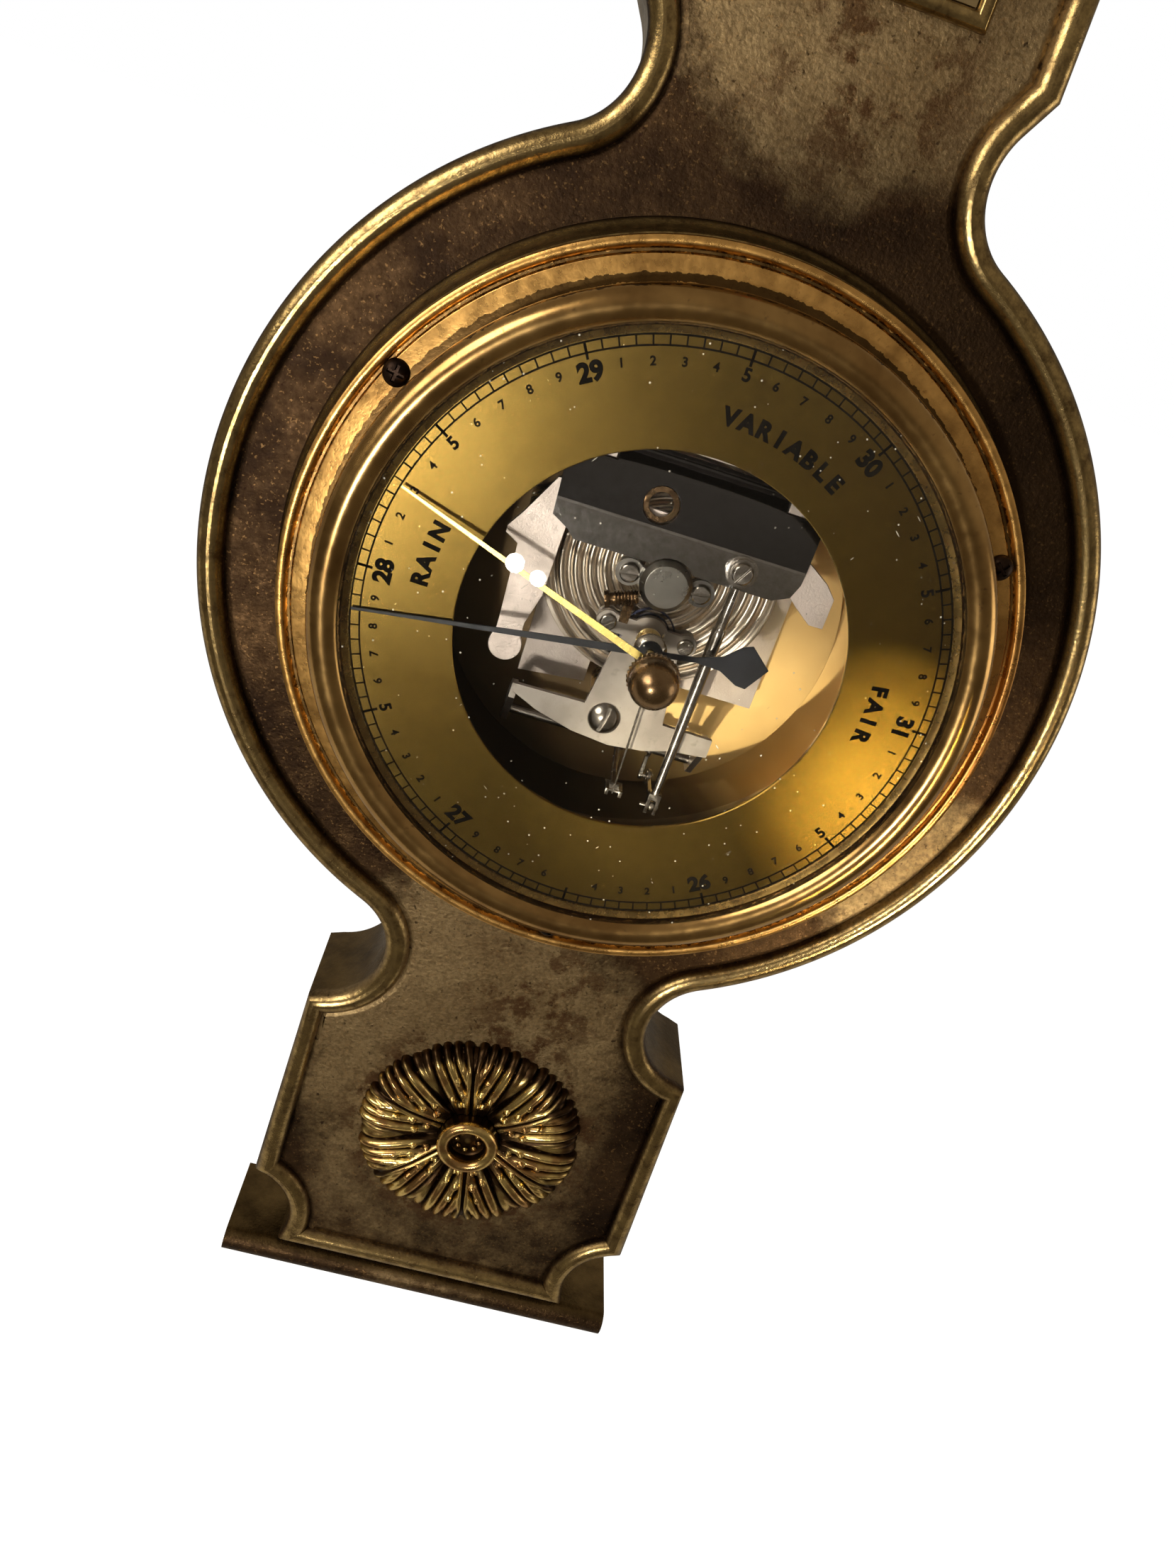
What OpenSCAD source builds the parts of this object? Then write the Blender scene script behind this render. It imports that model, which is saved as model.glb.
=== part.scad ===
// Wall barometer in a pressed brass case: aneroid movement with an open dial,
// a thermometer in the upper panel and a rosette in the lower one.
// Row frame: +X right, +Z up, the dial looks towards -Y, the wall is the plane Y = 0
// and the origin is the centre of the hanging hole. The modules draw in dial axes:
// x right, y up, z towards the viewer, with the dial's printed face at z = 0.

/* [Case] */
// Distance from the wall to the dial face
dial_depth = 42; // [41:0.5:46]
// Height of the hanging hole above the dial centre
hang_drop = 252; // [251:1:256]
// Radius of the round body at the crest of its bead
body_r = 80.2; // [78:0.2:84]
// Height of the plate's front face, measured from the dial face
plate_z = -16.6; // [-18:0.2:-15]
// Thickness of the case sheet
sheet_t = 1.2; // [1:0.1:1.6]
// Width of the half round bead along the outline
bead_w = 5; // [4:0.2:5.6]
// Height of the bead above the plate
bead_h = 2; // [1.4:0.2:2.6]
// Radius of the scoops at the necks, at the crest of the bead
neck_r = 16; // [15:0.5:17]
// Distance of the scoops' centres from the middle line
neck_x = 42.9; // [42:0.5:44]
// Bottom of the lower panel at the crest of the bead
panel_bottom = -168.6; // [-172:0.5:-166]
// Half width of the lower panel at its foot, at the crest of the bead
foot_x = 41.9; // [41:0.2:43]
// Half width of the lower panel at its top, at the crest of the bead
waist_x = 40.7; // [40:0.2:42]
// Radius of the scooped corners at the foot
foot_r = 16; // [14:0.5:17]
// Half width of the upper panel at its shoulder
shoulder_x = 32.2; // [31:0.2:34]
// Half width of the upper panel at its top
top_x = 27.8; // [27:0.2:30]
// Radius of the round crest on the top
crest_r = 18.6; // [17:0.2:20]
// Height of the crest's centre above the dial centre
crest_y = 226; // [222:1:228]
// Height of the plinth moulding under the lower panel
plinth_h = 10; // [9:0.5:12]
// Half width of the plinth moulding
plinth_x = 47.6; // [47:0.2:50]

/* [Dial and bezel] */
// How far the dial plate reaches past the drum
dial_over = 0.3; // [0.2:0.05:0.4]
// Radius of the opening in the dial
dial_open_r = 34.1; // [32:0.1:36]
// Thickness of the dial plate
dial_t = 0.8; // [0.6:0.1:1]
// How far the bezel's bead reaches past the drum
bezel_over = 5; // [4.6:0.1:5.2]
// Radius of the bezel's bead
bezel_bead_r = 2.8; // [2.6:0.1:3]
// Width of the fixing flange outside the drum
flange_w = 11.6; // [11:0.1:12.6]
// Distance of the flange screws outside the drum
screw_out = 7.3; // [7.1:0.1:7.6]
// Height of the glass at its middle
glass_top = 9.8; // [9.6:0.1:10.2]
// How far the glass reaches past the drum
glass_over = 0; // [0:0.1:0.2]
// Thickness of the glass
glass_t = 1.2; // [1:0.1:1.3]
// Outer radius of the drum that holds the movement
drum_r = 54.2; // [54:0.1:54.3]
// Wall of the drum
drum_t = 1.2; // [1:0.1:1.4]

/* [Hands] */
// How far the pressure hand's tip ends inside the dial's edge
hand_short = 3.1; // [2.9:0.1:6.5]
// Direction of the pressure hand, counted from the right
hand_dir = 188.5; // [0:0.5:360]
// How far the set hand's tip ends inside the dial's edge
set_short = 4.5; // [4:0.5:8.5]
// Direction of the set hand, counted from the right
set_dir = 162.4; // [0:0.2:360]
// Radius of the knob's dome
knob_r = 4.15; // [3.8:0.05:4.4]
// Height of the centre of the knob's dome
knob_z = 16.6; // [16:0.1:17]

/* [Movement] */
// Place of the capsule across the dial
cap_x = -0.6; // [-1:0.1:0]
// Place of the capsule up the dial
cap_y = 10.8; // [10.4:0.1:11]
// Radius of the capsule
cap_r = 22; // [20:0.5:22]
// Number of ridges pressed into the capsule
cap_ridges = 6; // [4:1:7]
// Height of the axis on which the spring leaf bends
leaf_pivot_y = 31; // [30.8:0.1:31.4]
// Radius of the arbor that carries the pressure hand
arbor_r = 0.7; // [0.6:0.05:0.8]
// Height of the rocking shaft's axis up the dial
rock_y = -24; // [-24.6:0.1:-23.8]
// Depth of the rocking shaft's axis
rock_z = -17; // [-17.4:0.1:-16.6]
// Radius of the rocking shaft
rock_r = 0.9; // [0.8:0.05:1]
// Place of the long rod's end across the dial
rod_x = 10.35; // [10:0.05:10.8]
// Place of the long rod's end up the dial
rod_end_y = -29.8; // [-30.2:0.1:-29.4]
// Turns of the hairspring
hair_turns = 4; // [3:1:4]

/* [Thermometer] */
// Half width of the raised frame
frame_x = 19.4; // [18:0.2:20]
// Bottom of the raised frame
frame_bottom = 103.6; // [103:0.2:106]
// Height of the raised frame
frame_h = 101; // [90:1:102]
// Radius of the glass tube
tube_r = 2.6; // [2.2:0.1:3]

/* [Rosette] */
// Height of the rosette's centre above the bottom of the lower panel
rosette_up = 42.4; // [40.6:0.2:44.6]
// Radius of the rosette
rosette_r = 25.3; // [24:0.1:26]
// Number of leaves round the rosette
leaves = 12; // [8:1:14]

/* [Hidden] */

// Clearances
fit_gap = 0.3;
run_gap = 0.05;
seat_gap = 0.1;

// Heights of the layers behind the dial
wall_z = -dial_depth;
hanger_t = 1;
rim_z = wall_z + hanger_t;
cover_t = 0.8;
cover_top = rim_z + cover_t;
drum_floor = cover_top + 0.7;
drum_in = drum_floor + 1;
disc_top = -30;
disc_t = 1.2;
base_plate_top = -20.8;
base_plate_t = 1.4;
base_plate_z = base_plate_top - base_plate_t;
bridge_top = -8;
bridge_t = 1.2;
cock_top = -11.4;
cock_t = 0.8;
bead_half = bead_w / 2;
dial_r = drum_r + dial_over;
hand_len = dial_r - hand_short;
set_len = dial_r - set_short;
rosette_y = panel_bottom + rosette_up;
glass_r = drum_r + glass_over;
bezel_r = drum_r + bezel_over;
flange_r = drum_r + flange_w;
screw_pcd = 2 * (drum_r + screw_out);
seat_in_r = flange_r - 7.2;
case_opening_r = seat_in_r - 1;
seat_top = -8;
flange_face = -5.2;
capsule_seat = base_plate_top;
$fn = 64;

// Puts a drawing in dial axes into the row frame
module at_dial() {
    translate([0, -dial_depth, -hang_drop])
        rotate([90, 0, 0])
            children();
}

// A straight round bar between two points, tapered from r1 to r2
module bar(p1, p2, r1, r2) {
    v = p2 - p1;
    len = norm(v);
    translate(p1)
        rotate([0, acos(v[2] / len), atan2(v[1], v[0])])
            cylinder(h = len, r1 = r1, r2 = r2, $fn = 24);
}

// A plate drawn flat, standing from z up by t
module plate_at(z, t) {
    translate([0, 0, z])
        linear_extrude(t)
            children();
}

// A round pin along x
module pin_x(x1, x2, y, z, r) {
    translate([x1, y, z])
        rotate([0, 90, 0])
            cylinder(h = x2 - x1, r = r, $fn = 32);
}

// A slotted cheese head screw: head radius, head height, shank radius, shank length
module slotted_screw(hr, hh, sr, sl, turn = 0) {
    difference() {
        union() {
            cylinder(h = hh * 0.7, r = hr, $fn = 32);
            translate([0, 0, hh * 0.7])
                cylinder(h = hh * 0.3, r1 = hr, r2 = hr * 0.8, $fn = 32);
        }
        rotate(turn)
            translate([-hr - 1, -hr * 0.13, hh * 0.55])
                cube([2 * hr + 2, hr * 0.26, hh]);
    }
    translate([0, 0, -sl])
        cylinder(h = sl, r = sr, $fn = 24);
}

// Points of an arc about c from angle a1 to a2, with n steps and bead width factor w
function arc_points(c, r, a1, a2, n, w = 1) = [
    for (i = [0 : n])
        let (a = a1 + (a2 - a1) * i / n)
            [c[0] + r * cos(a), c[1] + r * sin(a), w]
];

// The same arc as plain points of a flat outline
function flat_arc(c, r, a1, a2, n) = [
    for (i = [0 : n])
        let (a = a1 + (a2 - a1) * i / n)
            [c[0] + r * cos(a), c[1] + r * sin(a)]
];

// The case outline along the crest of its bead, right half from the foot to the top.
// The neck scoops touch the round body, so their centres lie at the sum of the radii.
neck_y = sqrt(pow(body_r + neck_r, 2) - pow(neck_x, 2));
neck_a = atan2(neck_y, neck_x);
foot_c = [foot_x + 5.7, panel_bottom + 4];
foot_a1 = 180 + asin(4 / foot_r);
foot_a2 = acos(-5.7 / foot_r);
waist_a = 270 - asin((neck_x - waist_x) / neck_r);
shoulder_a = 148;
shoulder_y = 99.4;
corner_r = 12;
corner_c = [crest_r + corner_r, crest_y];
slim = 0.78;
half_outline = concat(
    [[0, panel_bottom, 1]],
    arc_points(foot_c, foot_r, foot_a1, foot_a2, 7),
    [[waist_x, -neck_y - neck_r * sin(waist_a - 180), slim]],
    arc_points([neck_x, -neck_y], neck_r, waist_a - 6, 180 - neck_a, 10),
    arc_points([0, 0], body_r, 3 - neck_a, neck_a - 3, 26),
    arc_points([neck_x, neck_y], neck_r, 180 + neck_a, shoulder_a, 8),
    [[shoulder_x, shoulder_y, 1]],
    arc_points(corner_c, corner_r, 257, 180, 5),
    arc_points([0, crest_y], crest_r, 12, 78, 5),
    [[0, crest_y + crest_r, 1]]
);
half_n = len(half_outline);
outline = concat(
    half_outline,
    [for (i = [half_n - 2 : -1 : 1])
        [-half_outline[i][0], half_outline[i][1], half_outline[i][2]]]
);
outline_n = len(outline);

// Outward mitre direction at point i of the outline
function edge_normal(p, q) =
    let (d = [q[0] - p[0], q[1] - p[1]], l = norm(d)) [d[1] / l, -d[0] / l];
function mitre(i) =
    let (
        p = outline[(i + outline_n - 1) % outline_n],
        q = outline[i],
        r = outline[(i + 1) % outline_n],
        n1 = edge_normal(p, q),
        n2 = edge_normal(q, r),
        s = n1 + n2
    ) s / (1 + n1 * n2);
mitres = [for (i = [0 : outline_n - 1]) mitre(i)];
function offset_outline(d) = [
    for (i = [0 : outline_n - 1])
        [outline[i][0] + mitres[i][0] * d * outline[i][2],
         outline[i][1] + mitres[i][1] * d * outline[i][2]]
];

// Section of the case edge: outer wall, bead, and a foot that runs into the field sheet
edge_drop = 0.4;
sheet_mid = plate_z - sheet_t / 2;
edge_section = concat(
    [[bead_half, rim_z]],
    [for (t = [5 : 28 : 173])
        [bead_half * cos(t), plate_z - edge_drop + (bead_h + edge_drop) * sin(t)]],
    [[-bead_half - 0.2, sheet_mid], [bead_half - sheet_t, sheet_mid],
     [bead_half - sheet_t, rim_z]]
);

// The edge section swept round the outline, one closed ring
module case_edge() {
    n = outline_n;
    m = len(edge_section);
    rings = [
        for (s = edge_section)
            let (o = offset_outline(s[0]))
                for (p = o) [p[0], p[1], s[1]]
    ];
    walls = [
        for (k = [0 : m - 1])
            let (k2 = (k + 1) % m)
                for (i = [0 : n - 1])
                    let (j = (i + 1) % n)
                        each [
                            [k * n + i, k2 * n + i, k2 * n + j],
                            [k * n + i, k2 * n + j, k * n + j]
                        ]
    ];
    polyhedron(points = rings, faces = walls, convexity = 8);
}

module case_shell() {
    color([0.34, 0.27, 0.15])
        union() {
            case_edge();
            difference() {
                plate_at(plate_z - sheet_t, sheet_t)
                    polygon(offset_outline(bead_half - sheet_t / 2));
                translate([0, 0, plate_z - 5])
                    cylinder(h = 10, r = case_opening_r, $fn = 96);
                translate([0, rosette_y, plate_z - 5])
                    cylinder(h = 10, r = 2, $fn = 24);
            }
        }
}

// Plinth moulding soldered under the lower panel: ledge, cove and half round lip
panel_foot = panel_bottom - bead_half;
plinth_ledge = panel_foot - 3.4;
plinth_foot = panel_foot - plinth_h;
lip_r = (plinth_ledge - plinth_foot) / 2 - 0.9;
lip_z = plate_z - 3.6;
module base_moulding() {
    inner_x = foot_c[0] - foot_r + 2;
    color([0.36, 0.28, 0.15]) {
        rotate([90, 0, 90]) {
            translate([0, 0, -plinth_x])
                linear_extrude(2 * plinth_x)
                    union() {
                        polygon([
                            [plinth_ledge, rim_z], [plinth_ledge, lip_z],
                            [plinth_foot, lip_z], [plinth_foot, rim_z]
                        ]);
                        translate([(plinth_ledge + plinth_foot) / 2, lip_z])
                            circle(r = (plinth_ledge - plinth_foot) / 2, $fn = 40);
                    }
            translate([0, 0, -inner_x])
                linear_extrude(2 * inner_x)
                    polygon([
                        [panel_foot, rim_z], [panel_foot, lip_z - 5],
                        [plinth_ledge, lip_z - 5], [plinth_ledge, rim_z]
                    ]);
        }
    }
}

cover_inset = bead_half - sheet_t - fit_gap;
cover_spots = [
    [-18, crest_y - 19], [18, crest_y - 19], [-22, 112], [22, 112],
    [-(body_r - 12.2), 6], [body_r - 12.2, 6],
    [-33, panel_bottom + 28.6], [33, panel_bottom + 28.6]
];
post_r = 2.6;
module back_cover() {
    color([0.2, 0.19, 0.18])
        difference() {
            plate_at(rim_z, cover_t)
                polygon(offset_outline(cover_inset));
            for (p = cover_spots)
                translate([p[0], p[1], rim_z - 1])
                    cylinder(h = 3, r = 1.1, $fn = 24);
            translate([0, adjust_y, rim_z - 1])
                cylinder(h = 3, r = 1.9, $fn = 24);
            for (y = rivet_y)
                translate([0, y, rim_z - 1])
                    cylinder(h = 3, r = 1.6, $fn = 24);
        }
}

module cover_posts() {
    color([0.45, 0.38, 0.22])
        for (p = cover_spots)
            translate([p[0], p[1], cover_top])
                difference() {
                    cylinder(h = plate_z - sheet_t - cover_top, r = post_r, $fn = 32);
                    translate([0, 0, -1])
                        cylinder(h = 8, r = 1.05, $fn = 24);
                }
}

module cover_screws() {
    color([0.4, 0.4, 0.4])
        for (p = cover_spots)
            translate([p[0], p[1], rim_z]) {
                translate([0, 0, -0.7])
                    difference() {
                        cylinder(h = 0.7, r = 1.9, $fn = 32);
                        translate([-3, -0.25, -0.4])
                            cube([6, 0.5, 0.7]);
                    }
                cylinder(h = 6.5, r = 1, $fn = 24);
            }
}

// Steel tab riveted to the back, with the hanging hole in its round end
tab_w = 16;
tab_bottom = crest_y - 20;
tab_top_r = 7;
hang_hole_r = 3;
rivet_y = [tab_bottom + 5, tab_bottom + 17];
module hanger_plate() {
    color([0.42, 0.42, 0.41])
        difference() {
            plate_at(wall_z, hanger_t)
                union() {
                    translate([-tab_w / 2, tab_bottom])
                        square([tab_w, crest_y + 14 - tab_bottom]);
                    translate([-tab_top_r, crest_y])
                        square([2 * tab_top_r, hang_drop - crest_y]);
                    translate([0, hang_drop])
                        circle(r = tab_top_r, $fn = 48);
                }
            translate([0, hang_drop, wall_z - 1])
                cylinder(h = 3, r = hang_hole_r, $fn = 48);
            for (y = rivet_y)
                translate([0, y, wall_z - 1])
                    cylinder(h = 3, r = 1.6, $fn = 24);
        }
}

// Rivets through the tab and the cover, closed over inside the case
module hanger_rivets() {
    color([0.5, 0.5, 0.48])
        for (y = rivet_y)
            translate([0, y, wall_z + 0.2]) {
                cylinder(h = hanger_t + cover_t + 0.2, r = 1.5, $fn = 24);
                translate([0, 0, hanger_t - 0.2 + cover_t])
                    cylinder(h = 0.9, r1 = 2.8, r2 = 1.8, $fn = 24);
            }
}

module wall_pads() {
    color([0.12, 0.1, 0.09])
        for (s = [-1, 1])
            translate([s * (foot_x - 13.9), panel_bottom + 10.6, wall_z])
                cylinder(h = hanger_t, r = 5, $fn = 40);
}

// Turned ring on the plate that takes the flange of the movement
module screw_circle(n = 3) {
    for (i = [0 : n - 1])
        rotate(30 + i * 360 / n)
            translate([screw_pcd / 2, 0, 0])
                children();
}
module seat_ring() {
    color([0.33, 0.26, 0.15])
        difference() {
            rotate_extrude($fn = 128)
                polygon([
                    [seat_in_r, plate_z], [flange_r + 2.4, plate_z],
                    [flange_r + 1.9, plate_z + 1], [flange_r + 0.9, plate_z + 2.2],
                    [flange_r + 0.4, plate_z + 4], [flange_r + 0.2, seat_top],
                    [seat_in_r, seat_top]
                ]);
            screw_circle()
                translate([0, 0, seat_top - 6])
                    cylinder(h = 8, r = 1.35, $fn = 24);
        }
}

// Cast leaf rosette: leaves that swell from the hub and curl down at the rim
leaf_steps = 6;
rosette_rings = 8;
rosette_h = 4.6;
hub_r = 6.9;
function leaf_wave(a) = 0.5 + 0.5 * cos(leaves * a);
function rosette_rim(a) = rosette_r * (0.965 + 0.035 * leaf_wave(a));
function rosette_z(s, a) =
    plate_z + 1 + (rosette_h - 1) * (0.42 + 0.58 * sin(180 * pow(s, 0.8)))
    * (0.8 + 0.2 * leaf_wave(a)) * (s > 0.99 ? 0.55 : 1);
module rosette() {
    n = leaves * leaf_steps;
    inner = hub_r + 0.2;
    top = [
        for (k = [0 : rosette_rings])
            for (i = [0 : n - 1])
                let (
                    a = 360 * i / n,
                    s = k / rosette_rings,
                    r = inner + (rosette_rim(a) - inner) * s
                ) [r * cos(a), r * sin(a), rosette_z(s, a)]
    ];
    m = len(top);
    back = [
        for (k = [0 : 1])
            for (i = [0 : n - 1])
                let (a = 360 * i / n, r = k == 0 ? inner : rosette_rim(a))
                    [r * cos(a), r * sin(a), plate_z]
    ];
    skin = [
        for (k = [0 : rosette_rings - 1])
            for (i = [0 : n - 1])
                let (j = (i + 1) % n)
                    each [
                        [k * n + i, (k + 1) * n + j, (k + 1) * n + i],
                        [k * n + i, k * n + j, (k + 1) * n + j]
                    ]
    ];
    edges = [
        for (i = [0 : n - 1])
            let (j = (i + 1) % n, last = rosette_rings * n)
                each [
                    [last + i, m + n + j, m + n + i], [last + i, last + j, m + n + j],
                    [i, m + i, m + j], [i, m + j, j],
                    [m + i, m + n + i, m + n + j], [m + i, m + n + j, m + j]
                ]
    ];
    color([0.5, 0.36, 0.16])
        translate([0, rosette_y, 0])
            polyhedron(points = concat(top, back), faces = concat(skin, edges), convexity = 6);
}

// Hub of the rosette: a round ring about a sunk seed head, on a stud through the plate
button_top = plate_z + 6.6;
button_in_r = 4.1;
module rosette_button() {
    color([0.55, 0.4, 0.18])
        translate([0, rosette_y, 0]) {
            rotate_extrude($fn = 48)
                union() {
                    translate([0, plate_z])
                        square([hub_r, 3]);
                    translate([button_in_r, plate_z])
                        square([hub_r - button_in_r, 5.2]);
                    translate([(hub_r + button_in_r) / 2, plate_z + 5.2])
                        circle(r = (hub_r - button_in_r) / 2, $fn = 32);
                }
            for (i = [0 : 7])
                rotate(i * 45)
                    translate([2.6, 0, plate_z + 3])
                        sphere(r = 0.8, $fn = 16);
            translate([0, 0, plate_z - 6])
                cylinder(h = 6.5, r = 1.8, $fn = 24);
        }
}

module rosette_nut() {
    color([0.55, 0.5, 0.35])
        translate([0, rosette_y, plate_z - sheet_t - 2.4])
            difference() {
                cylinder(h = 2.4, r = 3.6, $fn = 6);
                translate([0, 0, -1])
                    cylinder(h = 5, r = 1.85, $fn = 24);
            }
}

// Raised frame round the thermometer, four mitred half round bars
frame_bar = 2.6;
frame_rise = 2.2;
module frame_side(len) {
    rotate([90, 0, 0])
        linear_extrude(len, center = true)
            intersection() {
                scale(1)
                    translate([0, frame_rise - frame_bar / 2 - 0.2])
                        union() {
                            circle(r = frame_bar / 2, $fn = 24);
                            translate([-frame_bar / 2, -2])
                                square([frame_bar, 2]);
                        }
                translate([-frame_bar / 2, 0])
                    square([frame_bar, frame_rise]);
            }
}
module thermometer_frame() {
    x = frame_x - frame_bar / 2;
    mid = frame_bottom + frame_h / 2;
    color([0.36, 0.28, 0.16])
        translate([0, mid, plate_z])
            union() {
                for (s = [-1, 1])
                    translate([s * x, 0, 0])
                        frame_side(frame_h);
                for (s = [-1, 1])
                    translate([0, s * (frame_h / 2 - frame_bar / 2), 0])
                        rotate(90)
                            frame_side(2 * frame_x);
            }
}

scale_t = 1;
scale_half = frame_x - frame_bar - 0.2;
scale_bottom = frame_bottom + frame_bar + 0.2;
scale_h = frame_h - 2 * frame_bar - 0.4;
scale_z = plate_z + scale_t;
bulb_r = tube_r + 1.2;
bulb_y = scale_bottom + 8;
tube_len = scale_h - 18;
tube_z = scale_z + bulb_r + seat_gap;
module thermometer_plate() {
    color([0.62, 0.54, 0.34])
        difference() {
            plate_at(plate_z, scale_t)
                translate([-scale_half, scale_bottom])
                    square([2 * scale_half, scale_h]);
            for (p = clip_holes)
                translate([p[0], p[1], plate_z - 1])
                    cylinder(h = 3, r = 0.8, $fn = 16);
        }
}

bore_r = 0.9;
module thermometer_tube() {
    color([0.8, 0.86, 0.86, 0.4])
        translate([0, bulb_y, tube_z])
            rotate([-90, 0, 0])
                rotate_extrude($fn = 48)
                    difference() {
                        intersection() {
                            union() {
                                circle(r = bulb_r, $fn = 48);
                                square([tube_r, tube_len - tube_r]);
                                translate([0, tube_len - tube_r])
                                    circle(r = tube_r, $fn = 48);
                            }
                            translate([0, -bulb_r - 1])
                                square([bulb_r + 1, tube_len + bulb_r + 2]);
                        }
                        union() {
                            circle(r = bulb_r - 0.8, $fn = 48);
                            translate([-1, 0])
                                square([bore_r + 1, tube_len - 4]);
                        }
                    }
}

module thermometer_liquid() {
    color([0.65, 0.05, 0.05])
        translate([0, bulb_y, tube_z])
            rotate([-90, 0, 0])
                rotate_extrude($fn = 32)
                    intersection() {
                        union() {
                            circle(r = bulb_r - 0.8 - run_gap, $fn = 48);
                            square([bore_r - run_gap, tube_len * 0.45]);
                        }
                        translate([0, -bulb_r])
                            square([bulb_r, tube_len]);
                    }
}

clip_ys = [bulb_y + 14, bulb_y + tube_len - 12];
clip_x = tube_r + 3.2;
clip_w = 3;
clip_holes = [for (y = clip_ys) for (s = [-1, 1]) [s * clip_x, y]];
module tube_clips() {
    reach = tube_r + seat_gap;
    color([0.66, 0.52, 0.25])
        for (y = clip_ys)
            translate([0, y + clip_w / 2, 0])
                rotate([90, 0, 0])
                    difference() {
                        linear_extrude(clip_w)
                            difference() {
                                union() {
                                    translate([-clip_x - 1.8, scale_z])
                                        square([2 * clip_x + 3.6, 0.5]);
                                    translate([-reach - 0.5, scale_z])
                                        square([2 * reach + 1, tube_z - scale_z]);
                                    translate([0, tube_z])
                                        circle(r = reach + 0.5, $fn = 40);
                                }
                                translate([0, tube_z])
                                    circle(r = reach, $fn = 40);
                                translate([-reach, scale_z - 1])
                                    square([2 * reach, tube_z - scale_z + 1]);
                            }
                        for (s = [-1, 1])
                            translate([s * clip_x, scale_z - 1, clip_w / 2])
                                rotate([-90, 0, 0])
                                    cylinder(h = 3, r = 0.8, $fn = 16);
                    }
}
module clip_screws() {
    color([0.6, 0.48, 0.24])
        for (p = clip_holes)
            translate([p[0], p[1], scale_z + 0.5])
                slotted_screw(1.4, 0.8, 0.7, scale_t + 0.5, 25);
}

// Spun drum: a deep cup with a shoulder under the flange
shoulder_t = 1.2;
module drum() {
    inner = drum_r - drum_t;
    color([0.72, 0.55, 0.25])
        difference() {
            rotate_extrude($fn = 128)
                polygon([
                    [0, drum_floor], [drum_r - 3, drum_floor], [drum_r, drum_floor + 3],
                    [drum_r, seat_top - shoulder_t], [drum_r + 2.2, seat_top - shoulder_t],
                    [drum_r + 2.2, seat_top], [drum_r, seat_top], [drum_r, -dial_t],
                    [inner, -dial_t], [inner, drum_in + 2.4], [inner - 2.4, drum_in],
                    [0, drum_in]
                ]);
            translate([0, adjust_y, drum_floor - 1])
                cylinder(h = 3, r = adjust_r + 0.2, $fn = 24);
        }
}

module flange_ring() {
    color([0.7, 0.52, 0.22])
        difference() {
            rotate_extrude($fn = 128)
                polygon([
                    [drum_r + 0.2, seat_top], [flange_r, seat_top],
                    [flange_r, flange_face - 0.1], [flange_r - 0.5, flange_face + 0.4],
                    [flange_r - 1.3, flange_face + 0.4], [flange_r - 1.7, flange_face],
                    [flange_r - 1.9, flange_face - 0.6], [flange_r - 2.6, flange_face - 0.6],
                    [flange_r - 2.8, flange_face], [drum_r + 0.2, flange_face]
                ]);
            screw_circle()
                translate([0, 0, seat_top - 1])
                    cylinder(h = 5, r = 1.45, $fn = 24);
        }
}

// Domed head screws with a cross recess
flange_head_r = 2.3;
module flange_screws() {
    cross_w = 0.6;
    color([0.13, 0.08, 0.06])
        screw_circle()
            translate([0, 0, flange_face]) {
                difference() {
                    intersection() {
                        cylinder(h = 1.5, r = flange_head_r, $fn = 32);
                        translate([0, 0, -1.4])
                            sphere(r = 2.9, $fn = 48);
                    }
                    for (a = [20, 110])
                        rotate(a)
                            translate([-1.5, -cross_w / 2, 0.5])
                                cube([3, cross_w, 2]);
                }
                translate([0, 0, -7.4])
                    cylinder(h = 7.4, r = 1.3, $fn = 24);
            }
}

bezel_bead = [bezel_r - bezel_bead_r, 0.7];
lip_z1 = 2.7;
module bezel() {
    color([0.5, 0.36, 0.17])
        rotate_extrude($fn = 128)
            difference() {
                union() {
                    translate(bezel_bead)
                        circle(r = bezel_bead_r, $fn = 48);
                    translate([dial_r + 0.4, flange_face])
                        square([bezel_r - fit_gap - dial_r - 0.4, bezel_bead[1] - flange_face]);
                    translate([glass_r - 1.2, lip_z1])
                        square([3, 0.5]);
                }
                translate([40, flange_face - 1])
                    square([dial_r + 0.4 - 40, lip_z1 - flange_face + 1]);
            }
}

// Domed glass, a shell between two spheres cut off by a cylinder
glass_edge = 2.3;
glass_sag = glass_top - glass_edge;
glass_sphere = (glass_r * glass_r + glass_sag * glass_sag) / (2 * glass_sag);
glass_c = glass_top - glass_sphere;
glass_hole_r = 1.6;
module glass() {
    color([0.85, 0.9, 0.9, 0.25])
        rotate_extrude($fn = 128)
            intersection() {
                difference() {
                    translate([0, glass_c])
                        circle(r = glass_sphere, $fn = 360);
                    translate([0, glass_c])
                        circle(r = glass_sphere - glass_t, $fn = 360);
                }
                translate([glass_hole_r, 0])
                    square([glass_r - glass_hole_r, glass_top + 1]);
            }
}

module sight_ring() {
    color([0.75, 0.58, 0.26])
        rotate_extrude($fn = 128)
            polygon([
                [dial_r - 2.6, 0], [dial_r, 0], [dial_r, 0.98], [dial_r - 1.1, 0.98],
                [dial_r - 2.6, 0.3]
            ]);
}

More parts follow.
